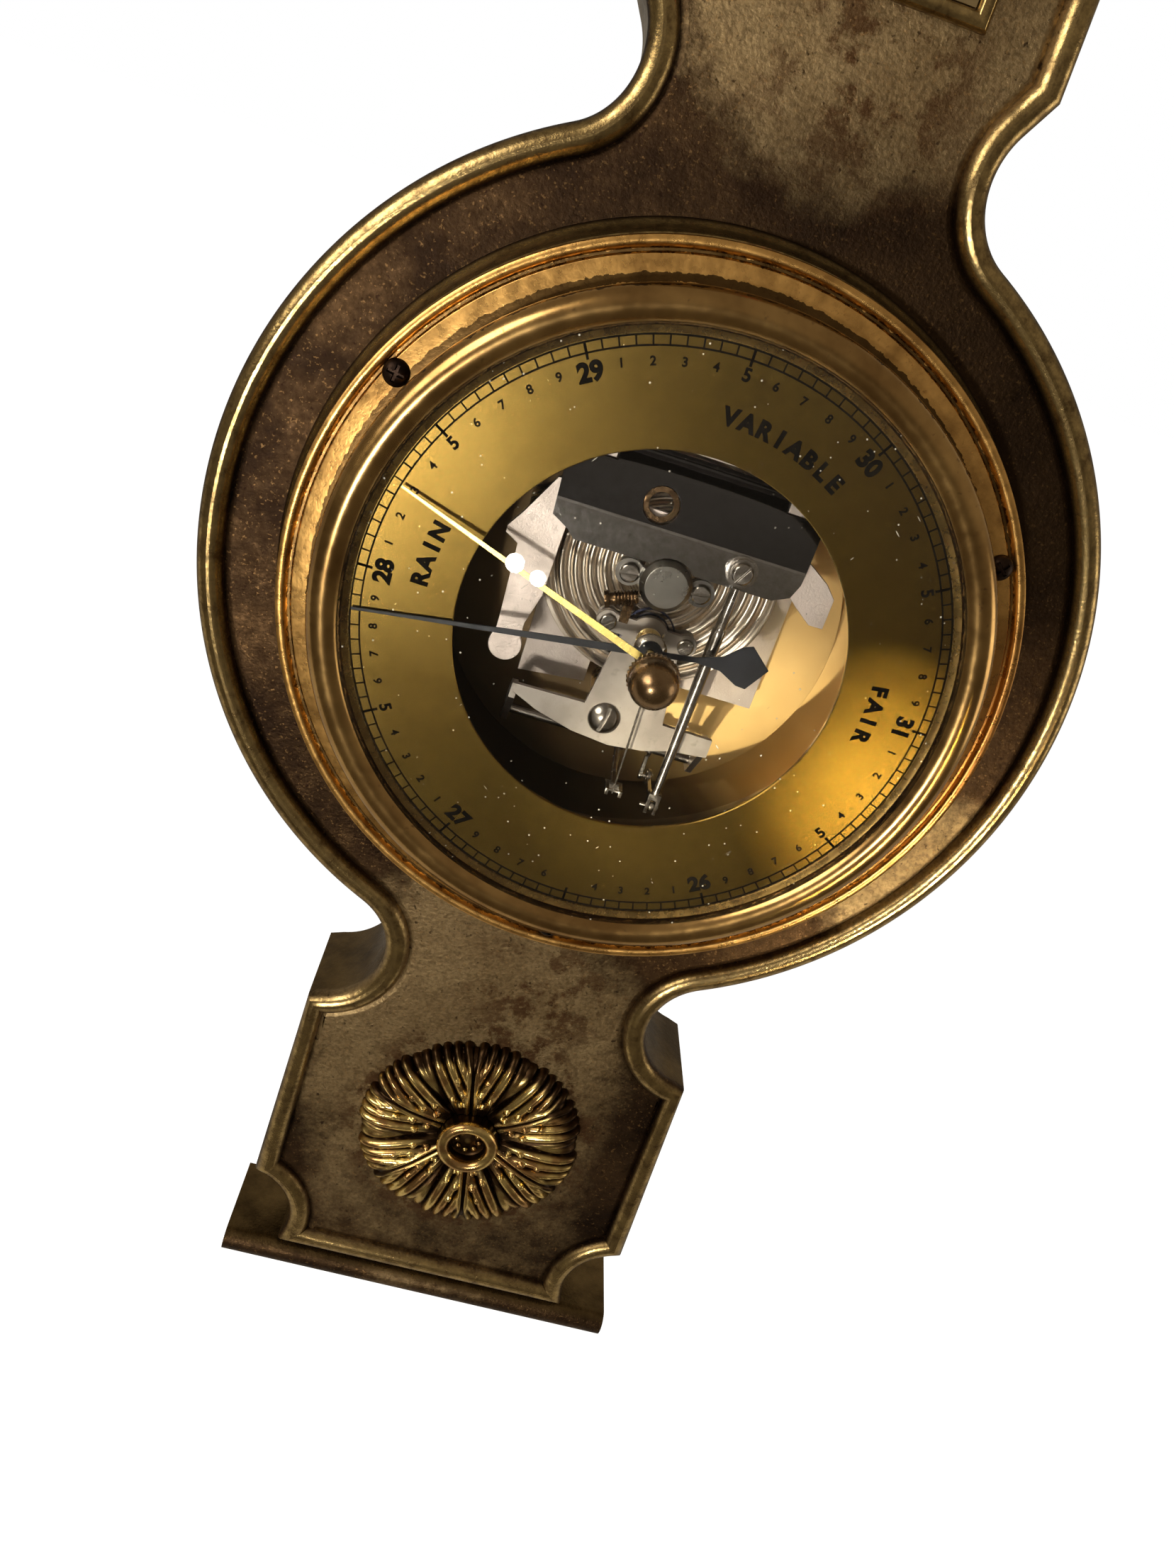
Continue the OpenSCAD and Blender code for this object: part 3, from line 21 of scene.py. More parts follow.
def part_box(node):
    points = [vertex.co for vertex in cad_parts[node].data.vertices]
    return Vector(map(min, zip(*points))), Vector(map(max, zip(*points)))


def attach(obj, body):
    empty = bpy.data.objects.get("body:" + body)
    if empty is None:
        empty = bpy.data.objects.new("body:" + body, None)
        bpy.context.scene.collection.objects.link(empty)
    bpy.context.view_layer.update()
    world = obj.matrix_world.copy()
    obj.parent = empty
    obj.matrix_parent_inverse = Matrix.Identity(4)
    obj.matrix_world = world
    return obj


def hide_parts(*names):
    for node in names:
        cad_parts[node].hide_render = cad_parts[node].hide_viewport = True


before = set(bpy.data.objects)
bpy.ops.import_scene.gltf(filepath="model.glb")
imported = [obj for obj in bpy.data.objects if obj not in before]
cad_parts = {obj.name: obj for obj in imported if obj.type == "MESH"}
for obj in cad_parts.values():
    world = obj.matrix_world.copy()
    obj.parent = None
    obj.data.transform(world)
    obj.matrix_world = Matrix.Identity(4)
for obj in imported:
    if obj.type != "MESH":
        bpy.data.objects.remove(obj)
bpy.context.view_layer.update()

# %% [markdown]
# ## Axes and sizes
#
# A barometer is drawn best from its dial: x to the right, y up and h towards the
# reader, in millimetres, with the printed face at h = 0. The frame is in metres with
# the wall at Y = 0 and the hanging hole at the origin. One function changes a dial
# point into a frame point, and all meshes are made through it, so that every finished
# object can stay at the origin.

# %% Axes and sizes
MM = 0.001
DIAL_DEPTH = 42.0
HANG_DROP = 252.0

BODY_R = 80.2
NECK_R = 16.0
NECK_X = 42.9
PANEL_BOTTOM = -168.6
FOOT_X = 41.9
WAIST_X = 40.7
FOOT_R = 16.0
SHOULDER = (32.2, 99.4, 1.0)
CREST_R = 18.6
CREST_Y = 226.0
CORNER_R = 12.0
SLIM = 0.78
BEAD_HALF = 2.5
BEAD_H = 2.0
SHEET = 1.2
PLATE_H = -16.6
RIM_H = -41.0

DRUM_R = 54.2
DRUM_T = 1.2
DRUM_FLOOR = -39.5
DIAL_R = 54.5
DIAL_OPEN_R = 34.1
DIAL_T = 0.8
BEZEL_R = 59.2
BEZEL_BEAD_R = 2.8
FLANGE_R = 65.8
FLANGE_FACE = -5.2
SEAT_TOP = -8.0
SEAT_IN_R = 58.6
SCREW_RING_R = 61.5
GLASS_R = 54.2
GLASS_TOP = 9.8
GLASS_EDGE = 2.3
GLASS_T = 1.2
KNOB_R = 4.15
KNOB_H = 16.6
ROSETTE_Y = -126.2
ROSETTE_R = 25.3
HUB_R = 6.9


def at(x, y, h):
    """A point in dial axes, in mm, as a point of the frame, in metres."""
    return (x * MM, -(h + DIAL_DEPTH) * MM, (y - HANG_DROP) * MM)


def in_mm(x, y, h):
    """A point in dial axes as a point of the frame in mm, for the masks of a finish."""
    return tuple(v / MM for v in at(x, y, h))


def on_circle(r, degrees, centre=(0.0, 0.0), tall=None):
    """A point on a circle in dial axes, or on an oval that is tall in its second axis."""
    a = math.radians(degrees)
    return (centre[0] + r * math.cos(a), centre[1] + (tall or r) * math.sin(a))


def arc(centre, r, start, stop, steps, tall=None):
    """Points of an arc, ends included."""
    return [on_circle(r, start + (stop - start) * i / steps, centre, tall) for i in range(steps + 1)]


print("the dial's centre lies at", [round(v, 4) for v in at(0, 0, 0)])

# %% [markdown]
# ## Camera and lamps
#
# The photograph looks at the barometer from below and a little to the left, with the
# camera turned so that the case leans over. The camera's place and turn were worked
# out from the printed dial, whose ticks lie on known circles.
#
# Two small lamps make the bright points on the glass, and two large soft ones light the
# case. The others are spotlights, because their narrow cones pass through the dial's
# opening, or fall on one part of the case, and leave no mark on the domed glass: one
# for the movement, one for the disc behind it, three for the gleam on the lower right
# of the dial and three for the field beside it.

# %% Camera and lamps
scene = bpy.context.scene
scene.view_settings.view_transform = "Standard"

CAMERA_X = Vector((0.954154, 0.006865, 0.299238))
CAMERA_Y = Vector((-0.273668, 0.424918, 0.862873))
CAMERA_Z = Vector((-0.121228, -0.905206, 0.407316))
CAMERA_PLACE = (-0.0295, -0.243, -0.189)
camera_data = bpy.data.cameras.new("camera")
camera_data.lens = 28.05
camera_data.sensor_width = 36.0
camera_data.clip_start = 0.01
camera = bpy.data.objects.new("camera", camera_data)
scene.collection.objects.link(camera)
turn = Matrix((CAMERA_X, CAMERA_Y, CAMERA_Z)).transposed().to_4x4()
camera.matrix_world = Matrix.Translation(CAMERA_PLACE) @ turn
scene.camera = camera


def lamp(name, place, aim, size, watts, colour, cone=0.0):
    """A round soft lamp at place, in mm of the frame, that shines at aim.

    With a cone, in degrees, it is a spotlight and lights only what lies in the cone.
    """
    data = bpy.data.lights.new(name, "SPOT" if cone else "AREA")
    if cone:
        data.shadow_soft_size = size / 2
        data.spot_size = math.radians(cone)
        data.spot_blend = 0.6
    else:
        data.shape = "DISK"
        data.size = size
    data.energy = watts
    data.color = colour
    obj = bpy.data.objects.new(name, data)
    obj.location = Vector(place) * MM
    obj.rotation_euler = (Vector(aim) - Vector(place)).to_track_quat("-Z", "Y").to_euler()
    scene.collection.objects.link(obj)


DIAL_CENTRE = (0, -42, -252)
lamp("spot_a", (-271, -1005, -409), DIAL_CENTRE, 0.050, 1.9, (1.0, 0.95, 0.87))
lamp("spot_b", (-205, -1016, -428), DIAL_CENTRE, 0.042, 1.4, (1.0, 0.95, 0.87))
lamp("left_soft", (-640, -600, 150), DIAL_CENTRE, 0.55, 3.8, (1.0, 0.93, 0.82))
lamp("right_soft", (690, -110, -250), DIAL_CENTRE, 0.35, 0.5, (1.0, 0.9, 0.76))
lamp("works_light", (-330, -500, -60), (4, -22, -256), 0.016, 2.9, (1.0, 0.93, 0.80), 7.0)
lamp("disc_light", (-271, -1005, -409), (25, -6, -274), 0.016, 46.0, (1.0, 0.90, 0.70), 3.0)
GLEAM = ((254, -445, 45.5, -257), (249, -471, 44, -264), (245, -503, 43, -271.5))
for x, z, to_x, to_z in GLEAM:
    lamp("gleam", (x, -600, z), (to_x, -42, to_z), 0.024, 5.6, (1.0, 0.78, 0.30), 1.5)
for to_x, to_z in ((68, -286), (52, -312), (76, -262)):
    lamp("field_light", (310, -570, -530), (to_x, -25, to_z), 0.04, 9.0, (1.0, 0.84, 0.58), 3.6)
print("the camera and", len(bpy.data.lights), "lamps are set")

# %% [markdown]
# ## Node trees
#
# Finishes, the world and Geometry Nodes are all node trees, so one small class serves
# them all. It adds a node with its inputs in one call and gives back the outputs. Its
# other calls are the few sums and blends that come up again and again.

# %% A helper for node trees


class Nodes:
    """A node tree with short ways to add to it."""

    def __init__(self, tree):
        self.tree = tree
        tree.nodes.clear()

    def feed(self, node, inputs):
        """Gives each named input its value, its colour or the socket to link."""
        for name, value in inputs.items():
            if isinstance(value, bpy.types.NodeSocket):
                self.tree.links.new(value, node.inputs[name])
            elif node.inputs[name].type == "RGBA":
                node.inputs[name].default_value = (*value, 1.0)
            else:
                node.inputs[name].default_value = value

    def add(self, kind, inputs=None, **settings):
        """The outputs of one new node."""
        node = self.tree.nodes.new(kind)
        for name, value in settings.items():
            setattr(node, name, value)
        self.feed(node, inputs or {})
        return node.outputs

    def blend(self, factor, a, b, kind="RGBA"):
        """a where factor is 0 and b where it is 1."""
        return self.add("ShaderNodeMix", {"Factor": factor, "A": a, "B": b}, data_type=kind)["Result"]

    def ramp(self, value, low, high, soft=False):
        """0 at low and 1 at high, with eased ends where it is soft."""
        kind = "SMOOTHSTEP" if soft else "LINEAR"
        limits = {"Value": value, "From Min": low, "From Max": high}
        return self.add("ShaderNodeMapRange", limits, interpolation_type=kind)[0]

    def spread(self, factor, low, high):
        """A value from low to high as factor goes from 0 to 1."""
        return self.add("ShaderNodeMapRange", {"Value": factor, "To Min": low, "To Max": high})[0]

    def maths(self, operation, *values, clamp=False):
        inputs = dict(enumerate(values))
        return self.add("ShaderNodeMath", inputs, operation=operation, use_clamp=clamp)[0]

    def times(self, a, b):
        return self.maths("MULTIPLY", a, b, clamp=True)

    def plus(self, first, *others):
        for other in others:
            first = self.maths("ADD", first, other, clamp=True)
        return first

    def vector(self, operation, a, b):
        return self.add("ShaderNodeVectorMath", {0: a, 1: b}, operation=operation)


print("the helper for node trees is ready")

# %% [markdown]
# ## World and floor
#
# The light is a plain studio. The camera sees a white backdrop and a pale floor. The
# brass sees a dim warm room in front of it and a dimmer backdrop, which keeps it deep
# in colour. Is Camera Ray and Is Transmission Ray tell the two apart, so the white
# also shows through glass.

# %% World and floor
WHITE = (1.0, 1.0, 1.0)


def build_world():
    world = bpy.data.worlds.new("studio")
    scene.world = world
    world.use_nodes = True
    n = Nodes(world.node_tree)
    ray = n.add("ShaderNodeLightPath")
    way = n.add("ShaderNodeSeparateXYZ", {"Vector": n.add("ShaderNodeTexCoord")["Generated"]})
    behind = n.ramp(way["Y"], 0.2, 0.6, soft=True)
    above = n.ramp(way["Z"], -0.16, 0.4, soft=True)
    room = n.blend(above, (0.105, 0.085, 0.060), (0.24, 0.20, 0.155))
    around = n.blend(behind, room, (0.34, 0.30, 0.24))
    lit = n.add("ShaderNodeBackground", {"Color": around, "Strength": 0.9})[0]
    white = n.add("ShaderNodeBackground", {"Color": WHITE, "Strength": 1.0})[0]
    through = n.maths("MULTIPLY", ray["Is Transmission Ray"], behind)
    seen = n.maths("MAXIMUM", ray["Is Camera Ray"], through)
    both = n.add("ShaderNodeMixShader", {"Fac": seen, 1: lit, 2: white})[0]
    n.add("ShaderNodeOutputWorld", {"Surface": both})


def build_floor():
    half, front, back, z = 9.0, -0.12, 16.0, -0.52
    mesh = bpy.data.meshes.new("floor")
    corners = [(-half, front, z), (half, front, z), (half, back, z), (-half, back, z)]
    mesh.from_pydata(corners, [], [(0, 1, 2, 3)])
    floor = bpy.data.objects.new("floor", mesh)
    scene.collection.objects.link(floor)
    mat = bpy.data.materials.new("pale_floor")
    mat.use_nodes = True
    n = Nodes(mat.node_tree)
    ray = n.add("ShaderNodeLightPath")
    glow = n.add("ShaderNodeEmission", {"Color": WHITE, "Strength": 0.96})[0]
    matt = n.add("ShaderNodeBsdfDiffuse", {"Color": (0.42, 0.42, 0.41)})[0]
    pale = n.add("ShaderNodeAddShader", {0: glow, 1: matt})[0]
    plain = n.add("ShaderNodeBsdfDiffuse", {"Color": (0.8, 0.8, 0.79)})[0]
    seen = n.maths("MAXIMUM", ray["Is Camera Ray"], ray["Is Transmission Ray"])
    both = n.add("ShaderNodeMixShader", {"Fac": seen, 1: plain, 2: pale})[0]
    n.add("ShaderNodeOutputMaterial", {"Surface": both})
    mesh.materials.append(mat)


build_world()
build_floor()
print("the world and the floor are set")

# %% [markdown]
# ## Finishes
#
# Nearly everything here is metal, so the finishes are what make the piece. Each one
# starts from a plain metal and adds what time did to it: a cloudy change of colour
# where the lacquer has aged, dark red-brown spots where it has gone, fine speckle, and
# a roughness that follows the same clouds. All patterns read Object coordinates, so
# they stay where they are when the camera moves.

# %% A helper for finishes


class Finish(Nodes):
    """A new material with its Principled shader and its coordinates in mm."""

    def __init__(self, name):
        self.material = bpy.data.materials.new(name)
        self.material.use_nodes = True
        super().__init__(self.material.node_tree)
        self.shader = self.tree.nodes.new("ShaderNodeBsdfPrincipled")
        place = self.add("ShaderNodeTexCoord")["Object"]
        self.mm = self.add("ShaderNodeMapping", {"Vector": place, "Scale": (1000, 1000, 1000)})[0]

    def cloud(self, size, low, high, detail=4.0, shape=0.6, offset=(0, 0, 0), vector=None):
        """Clouds about size mm wide, from 0 to 1 between two levels of the noise."""
        moved = {"Vector": self.mm if vector is None else vector, "Location": offset}
        noise = {"Scale": 1.0 / size, "Detail": detail, "Roughness": shape}
        noise["Vector"] = self.add("ShaderNodeMapping", moved)[0]
        return self.ramp(self.add("ShaderNodeTexNoise", noise)[0], low, high)

    def near(self, x, y, inner, outer, h=PLATE_H):
        """1 near a point in dial axes, falling to 0 between two distances in mm."""
        far = self.vector("DISTANCE", self.mm, in_mm(x, y, h))["Value"]
        return self.ramp(far, outer, inner, soft=True)

    def over(self, base, mask, strength, colour):
        """base with a colour laid over it where mask is 1."""
        return self.blend(self.times(mask, strength), base, colour)

    def dirt_ring(self, r, half):
        """The mask of a painted shade ring: 1 within half of a radius about the dial's axis, with a ragged
        edge.
        """
        flat = self.vector("MULTIPLY", self.mm, (1, 0, 1))[0]
        far = self.vector("DISTANCE", flat, (0, 0, -HANG_DROP))["Value"]
        ragged = self.maths("ADD", self.spread(self.cloud(1.6, 0.3, 0.7), -0.3, 0.3), far)
        return self.maths("COMPARE", ragged, r, half)

    def done(self, colour, rough, metallic, height, strength, depth):
        """Links it all up. The height, from 0 to 1, is pressed in by depth mm."""
        pressed = {"Height": height, "Strength": strength, "Distance": depth * MM}
        looks = {"Base Color": colour, "Roughness": rough, "Metallic": metallic}
        looks["Normal"] = self.add("ShaderNodeBump", pressed)[0]
        self.feed(self.shader, looks)
        self.add("ShaderNodeOutputMaterial", {"Surface": self.shader.outputs[0]})
        return self.material


print("the helper for finishes is ready")

# %% [markdown]
# ### Aged case brass
#
# The case was lacquered once. On most of the field a brown, nearly black film is left.
# At the necks, beside the dial and on the lower panel it has worn off with a ragged
# edge and bare olive brown metal shows, with reddish stains. At the upper neck and
# beside the dial these bare patches are also painted light, lighter where the case
# catches the light. The bead and the rims are touched more, so they are lighter and
# smoother. The height above the field tells the two apart, because the bead is the
# only part of the sheet that stands up. Painted shade darkens the field round the
# dial, and the side walls behind the field get a darker colour as painted shade.

# %% Aged case brass


def make_aged_brass():
    f = Finish("aged_brass")
    depth = f.add("ShaderNodeSeparateXYZ", {"Vector": f.mm})["Y"]
    field = in_mm(0, 0, PLATE_H)[1]
    crest = in_mm(0, 0, PLATE_H + BEAD_H)[1]
    rubbed = f.ramp(depth, field - 0.3, crest + 0.2, soft=True)
    wall = f.ramp(depth, field + 0.4, field + 2.0, soft=True)
    broad = f.cloud(22, 0.40, 0.60, 7.0, 0.70)
    fine = f.cloud(2.8, 0.38, 0.64, 7.0, 0.76, (40, 0, 12))
    film = f.blend(broad, (0.020, 0.011, 0.006), (0.110, 0.062, 0.027))
    bare = f.blend(broad, (0.33, 0.225, 0.105), (0.46, 0.328, 0.160))
    # The upper neck and the patch beside the dial are bare metal and also painted light, lighter where the
    # case catches the light.
    upper_neck_worn_and_lit, lower_neck = f.near(2, 106, 16, 44), f.near(-10, -100, 16, 56)
    beside_dial_worn_and_lit, foot = f.near(69, -36, 6, 30), f.times(f.near(0, -150, 22, 50), 0.45)
    worn = f.plus(upper_neck_worn_and_lit, lower_neck, beside_dial_worn_and_lit, foot)
    ragged = f.spread(f.cloud(12, 0.38, 0.62, 7.0, 0.74, (17, 8, 2)), 0.5, 1.0)
    gone = f.ramp(f.times(worn, ragged), 0.20, 0.48)
    speckled = f.spread(gone, 0.62, 0.3)
    base = f.over(f.blend(gone, film, bare), fine, speckled, (0.040, 0.021, 0.010))
    grit = f.cloud(0.9, 0.44, 0.60, 3.0, 0.7, (9, 9, 31))
    base = f.over(base, grit, 0.35, (0.030, 0.015, 0.007))
    stained = f.plus(f.near(6, 94, 4, 30), f.near(6, -86, 4, 26), f.near(0, ROSETTE_Y, 25, 33))
    patches = f.cloud(11, 0.48, 0.55, 7.0, 0.72, (7, 3, 21))
    base = f.over(base, f.times(stained, patches), 0.85, (0.085, 0.036, 0.014))
    spots = f.cloud(1.5, 0.62, 0.70, 3.0, 0.6, (3, 60, 9))
    base = f.over(base, spots, 0.8, (0.022, 0.010, 0.006))
    glints = f.cloud(0.6, 0.62, 0.72, 2.0, 0.5, (33, 6, 19))
    base = f.over(base, glints, 0.4, (0.42, 0.24, 0.09))
    # Painted shade: the field round the dial is darkened.
    painted_shade_round_dial = f.near(12, 12, 62, 84)
    base = f.over(base, painted_shade_round_dial, 0.62, (0.018, 0.010, 0.005))
    # Painted shade: the side walls behind the field get a darker colour than the field.
    side = f.blend(broad, (0.075, 0.047, 0.018), (0.19, 0.125, 0.050))
    bright = f.blend(fine, (0.60, 0.43, 0.175), (0.17, 0.108, 0.042))
    colour = f.blend(wall, f.over(base, rubbed, 0.9, bright), side)
    worked = f.plus(rubbed, f.times(wall, 0.75))
    rough = f.blend(worked, f.spread(fine, 0.36, 0.54), f.spread(fine, 0.16, 0.28), "FLOAT")
    dents = f.spread(worked, 0.9, 0.35)
    grain = f.times(f.cloud(0.7, 0.3, 0.7, 3.0, 0.6), f.times(dents, 0.6))
    relief = f.plus(grain, f.times(fine, f.times(dents, 0.4)))
    return f.done(colour, rough, 0.95, relief, 0.6, 0.13)


aged_brass = make_aged_brass()
print("made", aged_brass.name)

# %% [markdown]
# ### Gold lacquer, dial gold and copper
#
# The flange, the drum and the disc behind the movement are brass under a gold lacquer.
# It keeps its shine, and where it is scratched off, red-brown dots show. The dial is
# the same metal brushed along straight lines. The bezel and the knob have lost their
# lacquer and look coppery. One function makes them all, with its colours and the
# amount of wear as arguments. Painted shade is laid on as dark rings about the dial's
# axis, where the turned rings meet. The disc and the drum are painted dark as shade
# away from the side that the light reaches, and painted shade darkens the flange on
# its right.

# %% Lacquered metals
# Colours of painted shade: the dark rings where turned rings meet, and the disc's far side.
GROOVE_SHADE = (0.030, 0.016, 0.008)
DISC_SHADE = (0.10, 0.062, 0.024)


def make_lacquer(
    name, light, deep, worn, wear, rough,
    grain=0.0, seed=0.0, size=16, dent=0.03, shade_rings=(), shaded=False, shaded_right=False,
):
    f = Finish(name)
    broad = f.cloud(size, 0.36, 0.66, 4.0, 0.6, (seed, 2, 5))
    fine = f.cloud(2.6, 0.40, 0.66, 5.0, 0.68, (seed, 11, 30))
    freckle = f.cloud(1.1, 0.66 - 0.1 * wear, 0.74 - 0.08 * wear, 3.0, 0.6, (30, seed, 2))
    gone = f.times(freckle, f.plus(f.times(fine, 0.8), 0.2))
    base = f.over(f.blend(broad, light, deep), gone, min(1.0, 0.4 + wear), worn)
    # Painted shade: dark rings where the turned rings meet.
    for r, half in shade_rings:
        base = f.over(base, f.dirt_ring(r, half), 0.85, GROOVE_SHADE)
    # Painted shade on the flange's right side, laid on in the worn colour.
    if shaded_right:
        base = f.blend(f.near(62, 2, 8, 34, h=-10), base, worn)
    # Painted shade: the disc and the drum are dark away from the side that the light reaches.
    if shaded:
        base = f.blend(f.near(38, -2, 30, 46, h=-36), DISC_SHADE, base)
    gloss = f.plus(f.times(fine, 0.7), f.times(freckle, 0.3))
    skin = fine
    if grain:
        along = {"Vector": f.mm, "Scale": (0.08, 4.0, 4.0), "Rotation": (0, math.radians(-12), 0)}
        lines = {"Vector": f.add("ShaderNodeMapping", along)[0], "Scale": 1.0, "Detail": 3.0}
        brushed = f.add("ShaderNodeTexNoise", lines)[0]
        skin = f.plus(f.times(fine, 1.0 - grain), f.times(brushed, grain))
    return f.done(base, f.spread(gloss, *rough), 0.7 if shaded else 1.0, skin, 0.35, dent)


# Its dark rings and its darker right side are painted shade.
gold_lacquer = make_lacquer(
    "gold_lacquer", (0.98, 0.57, 0.175), (0.50, 0.27, 0.080), (0.42, 0.20, 0.055), 0.5, (0.26, 0.40),
    seed=3.0, size=7, dent=0.06, shade_rings=((59.6, 0.75), (63.5, 0.35)), shaded_right=True,
)
clean_lacquer = make_lacquer(
    "clean_lacquer", (0.80, 0.55, 0.22), (0.74, 0.49, 0.18), (0.55, 0.34, 0.13), 0.02, (0.40, 0.46),
    seed=5.0, size=30, dent=0.004, shaded=True,
)
dial_gold = make_lacquer(
    "dial_gold", (0.235, 0.153, 0.037), (0.185, 0.116, 0.026), (0.50, 0.38, 0.16), 0.0, (0.215, 0.245),
    grain=0.9, seed=9.0, size=40, dent=0.001,
)
# The two dark rings at the bezel's edges are painted shade.
bezel_brass = make_lacquer(
    "bezel_brass", (0.64, 0.40, 0.145), (0.34, 0.195, 0.068), (0.12, 0.052, 0.022), 0.35, (0.18, 0.28),
    seed=14.0, size=14, dent=0.006, shade_rings=((59.4, 0.45), (53.0, 0.3)),
)
sight_gold = make_lacquer(
    "sight_gold", (0.25, 0.16, 0.05), (0.14, 0.085, 0.028), (0.16, 0.07, 0.025), 0.4, (0.24, 0.36),
    seed=61.0, size=6,
)
copper_knob = make_lacquer(
    "copper_knob", (0.34, 0.225, 0.115), (0.22, 0.135, 0.065), (0.14, 0.07, 0.035), 0.2, (0.22, 0.34),
    seed=21.0, size=4,
)
dark_bronze = make_lacquer(
    "dark_bronze", (0.16, 0.10, 0.05), (0.09, 0.052, 0.026), (0.05, 0.025, 0.012), 0.3, (0.24, 0.38),
    seed=51.0, size=3,
)
bright_brass = make_lacquer(
    "bright_brass", (0.50, 0.40, 0.13), (0.44, 0.33, 0.10), (0.4, 0.27, 0.10), 0.05, (0.24, 0.34), seed=31.0
)
turned_brass = make_lacquer(
    "turned_brass", (0.70, 0.55, 0.27), (0.55, 0.40, 0.18), (0.28, 0.16, 0.07), 0.2, (0.24, 0.38),
    seed=41.0, size=5,
)
print("made the gold and copper finishes")

# %% [markdown]
# ### Rosette brass
#
# The rosette is cast and then burnished. Its hollows kept the dark colour of the
# casting, and its ridges were rubbed bright. The mesh knows which is which: a
# "ridge" attribute is written on its points when it is made, and the finish reads it.
# On one side of the rim this value is also lowered as painted shadow.

# %% Rosette brass


def make_leaf_brass():
    f = Finish("leaf_brass")
    fine = f.cloud(1.8, 0.36, 0.68, 5.0, 0.65)
    broad = f.cloud(6, 0.44, 0.58, 3.0, 0.6, (5, 5, 5))
    bright = f.blend(broad, (1.0, 0.74, 0.27), (0.55, 0.32, 0.12))
    dark = f.blend(fine, (0.030, 0.016, 0.008), (0.070, 0.040, 0.018))
    ridge = f.add("ShaderNodeAttribute", attribute_name="ridge")["Fac"]
    rubbed = f.ramp(ridge, 0.10, 0.60)
    colour = f.over(dark, rubbed, f.spread(fine, 1.0, 0.72), bright)
    return f.done(colour, f.spread(rubbed, 0.36, 0.22), 1.0, fine, 0.4, 0.05)


leaf_brass = make_leaf_brass()
print("made", leaf_brass.name)

# %% [markdown]
# ### Steels
#
# The spring, the plates and the bridge are rolled steel with a fine matt grain, and
# the screws, rods and clamp are polished. The capsule is nickel plated. Each gets its
# own grain, because next to each other on a dial the differences show. The leaf spring
# is bent along a line across it, and the light there is painted: painted shade above
# the bend, a painted highlight along the line itself and a painted sheen below it.

# %% Steels
SPRING_BEND_Y = 19.9


def bent_sheet(f, base, bend_y):
    """Painted light at a bend: painted shade above it, a painted highlight along it and a painted sheen
    below.
    """
    up = f.add("ShaderNodeSeparateXYZ", {"Vector": f.mm})["Z"]
    z = in_mm(0, bend_y, 0)[2]
    # Painted sheen that grows towards the bend from below.
    lit = f.over(base, f.ramp(up, z - 13, z, soft=True), 0.55, (0.56, 0.55, 0.55))
    # Painted shade above the bend.
    painted_shade_above = f.blend(f.ramp(up, z - 0.1, z + 0.1), lit, (0.12, 0.12, 0.13))
    # Painted highlight along the bend itself.
    return f.blend(f.maths("COMPARE", up, z, 0.22), painted_shade_above, (0.62, 0.61, 0.62))


def make_steel(name, light, deep, rough, size, depth, stretch=1.0, metallic=1.0, stained=0.35, bend_y=None):
    f = Finish(name)
    drawn = f.add("ShaderNodeMapping", {"Vector": f.mm, "Scale": (1.0 / stretch, 1.0, 1.0)})[0]
    fine = f.cloud(size, 0.34, 0.68, 5.0, 0.7, vector=drawn)
    broad = f.cloud(9.0, 0.38, 0.64, 3.0, 0.55, (8, 1, 14))
    stain = f.cloud(2.2, 0.60, 0.72, 3.0, 0.6, (1, 15, 40))
    base = f.over(f.blend(broad, light, deep), stain, stained, tuple(v * 0.5 for v in deep))
    # Painted light at the bend, for the leaf spring.
    if bend_y is not None:
        base = bent_sheet(f, base, bend_y)
    return f.done(base, f.spread(fine, *rough), metallic, fine, 0.4, depth)


spring_steel = make_steel(
    "spring_steel", (0.38, 0.37, 0.365), (0.27, 0.26, 0.255), (0.10, 0.17), 1.2, 0.004, bend_y=SPRING_BEND_Y
)
plate_steel = make_steel("plate_steel", (0.84, 0.73, 0.67), (0.52, 0.45, 0.405), (0.28, 0.42), 0.45, 0.06)
frame_steel = make_steel("frame_steel", (0.46, 0.40, 0.36), (0.34, 0.29, 0.26), (0.32, 0.44), 0.4, 0.05)
bridge_steel = make_steel("bridge_steel", (0.34, 0.305, 0.27), (0.24, 0.21, 0.185), (0.34, 0.46), 0.45, 0.03)
polished_steel = make_steel(
    "polished_steel", (0.52, 0.485, 0.44), (0.34, 0.31, 0.28), (0.14, 0.28), 1.2, 0.008, stretch=3.0
)
dull_steel = make_steel(
    "dull_steel", (0.27, 0.255, 0.23), (0.17, 0.16, 0.145), (0.27, 0.30), 2.5, 0.002, stained=0.0
)
nickel = make_steel("nickel", (0.98, 0.88, 0.75), (0.90, 0.79, 0.66), (0.24, 0.25), 1.4, 0.0002, stained=0.0)
blued_steel = make_steel("blued_steel", (0.055, 0.075, 0.17), (0.035, 0.045, 0.11), (0.18, 0.3), 0.8, 0.008)
black_hand = make_steel(
    "black_hand", (0.012, 0.013, 0.017), (0.008, 0.009, 0.012), (0.36, 0.48), 0.7, 0.01, metallic=0.3
)
dark_screw = make_steel("dark_screw", (0.040, 0.024, 0.016), (0.016, 0.010, 0.008), (0.34, 0.5), 0.9, 0.04)
tab_steel = make_steel(
    "tab_steel", (0.36, 0.35, 0.33), (0.25, 0.235, 0.22), (0.34, 0.5), 0.8, 0.03, stretch=4.0
)
print("made the steels")

# %% [markdown]
# ### Paint, rubber, ink and glass
#
# The back cover is painted, the pads are rubber and the print is matt ink. The glass
# has a low index, which keeps its reflections faint. It lets the lamps through, and it
# carries what an old pane carries: specks of dust and two layers of short fine
# scratches, thicker in some patches than in others.

# %% Paint, rubber, scale plate, ink, glass and spirit


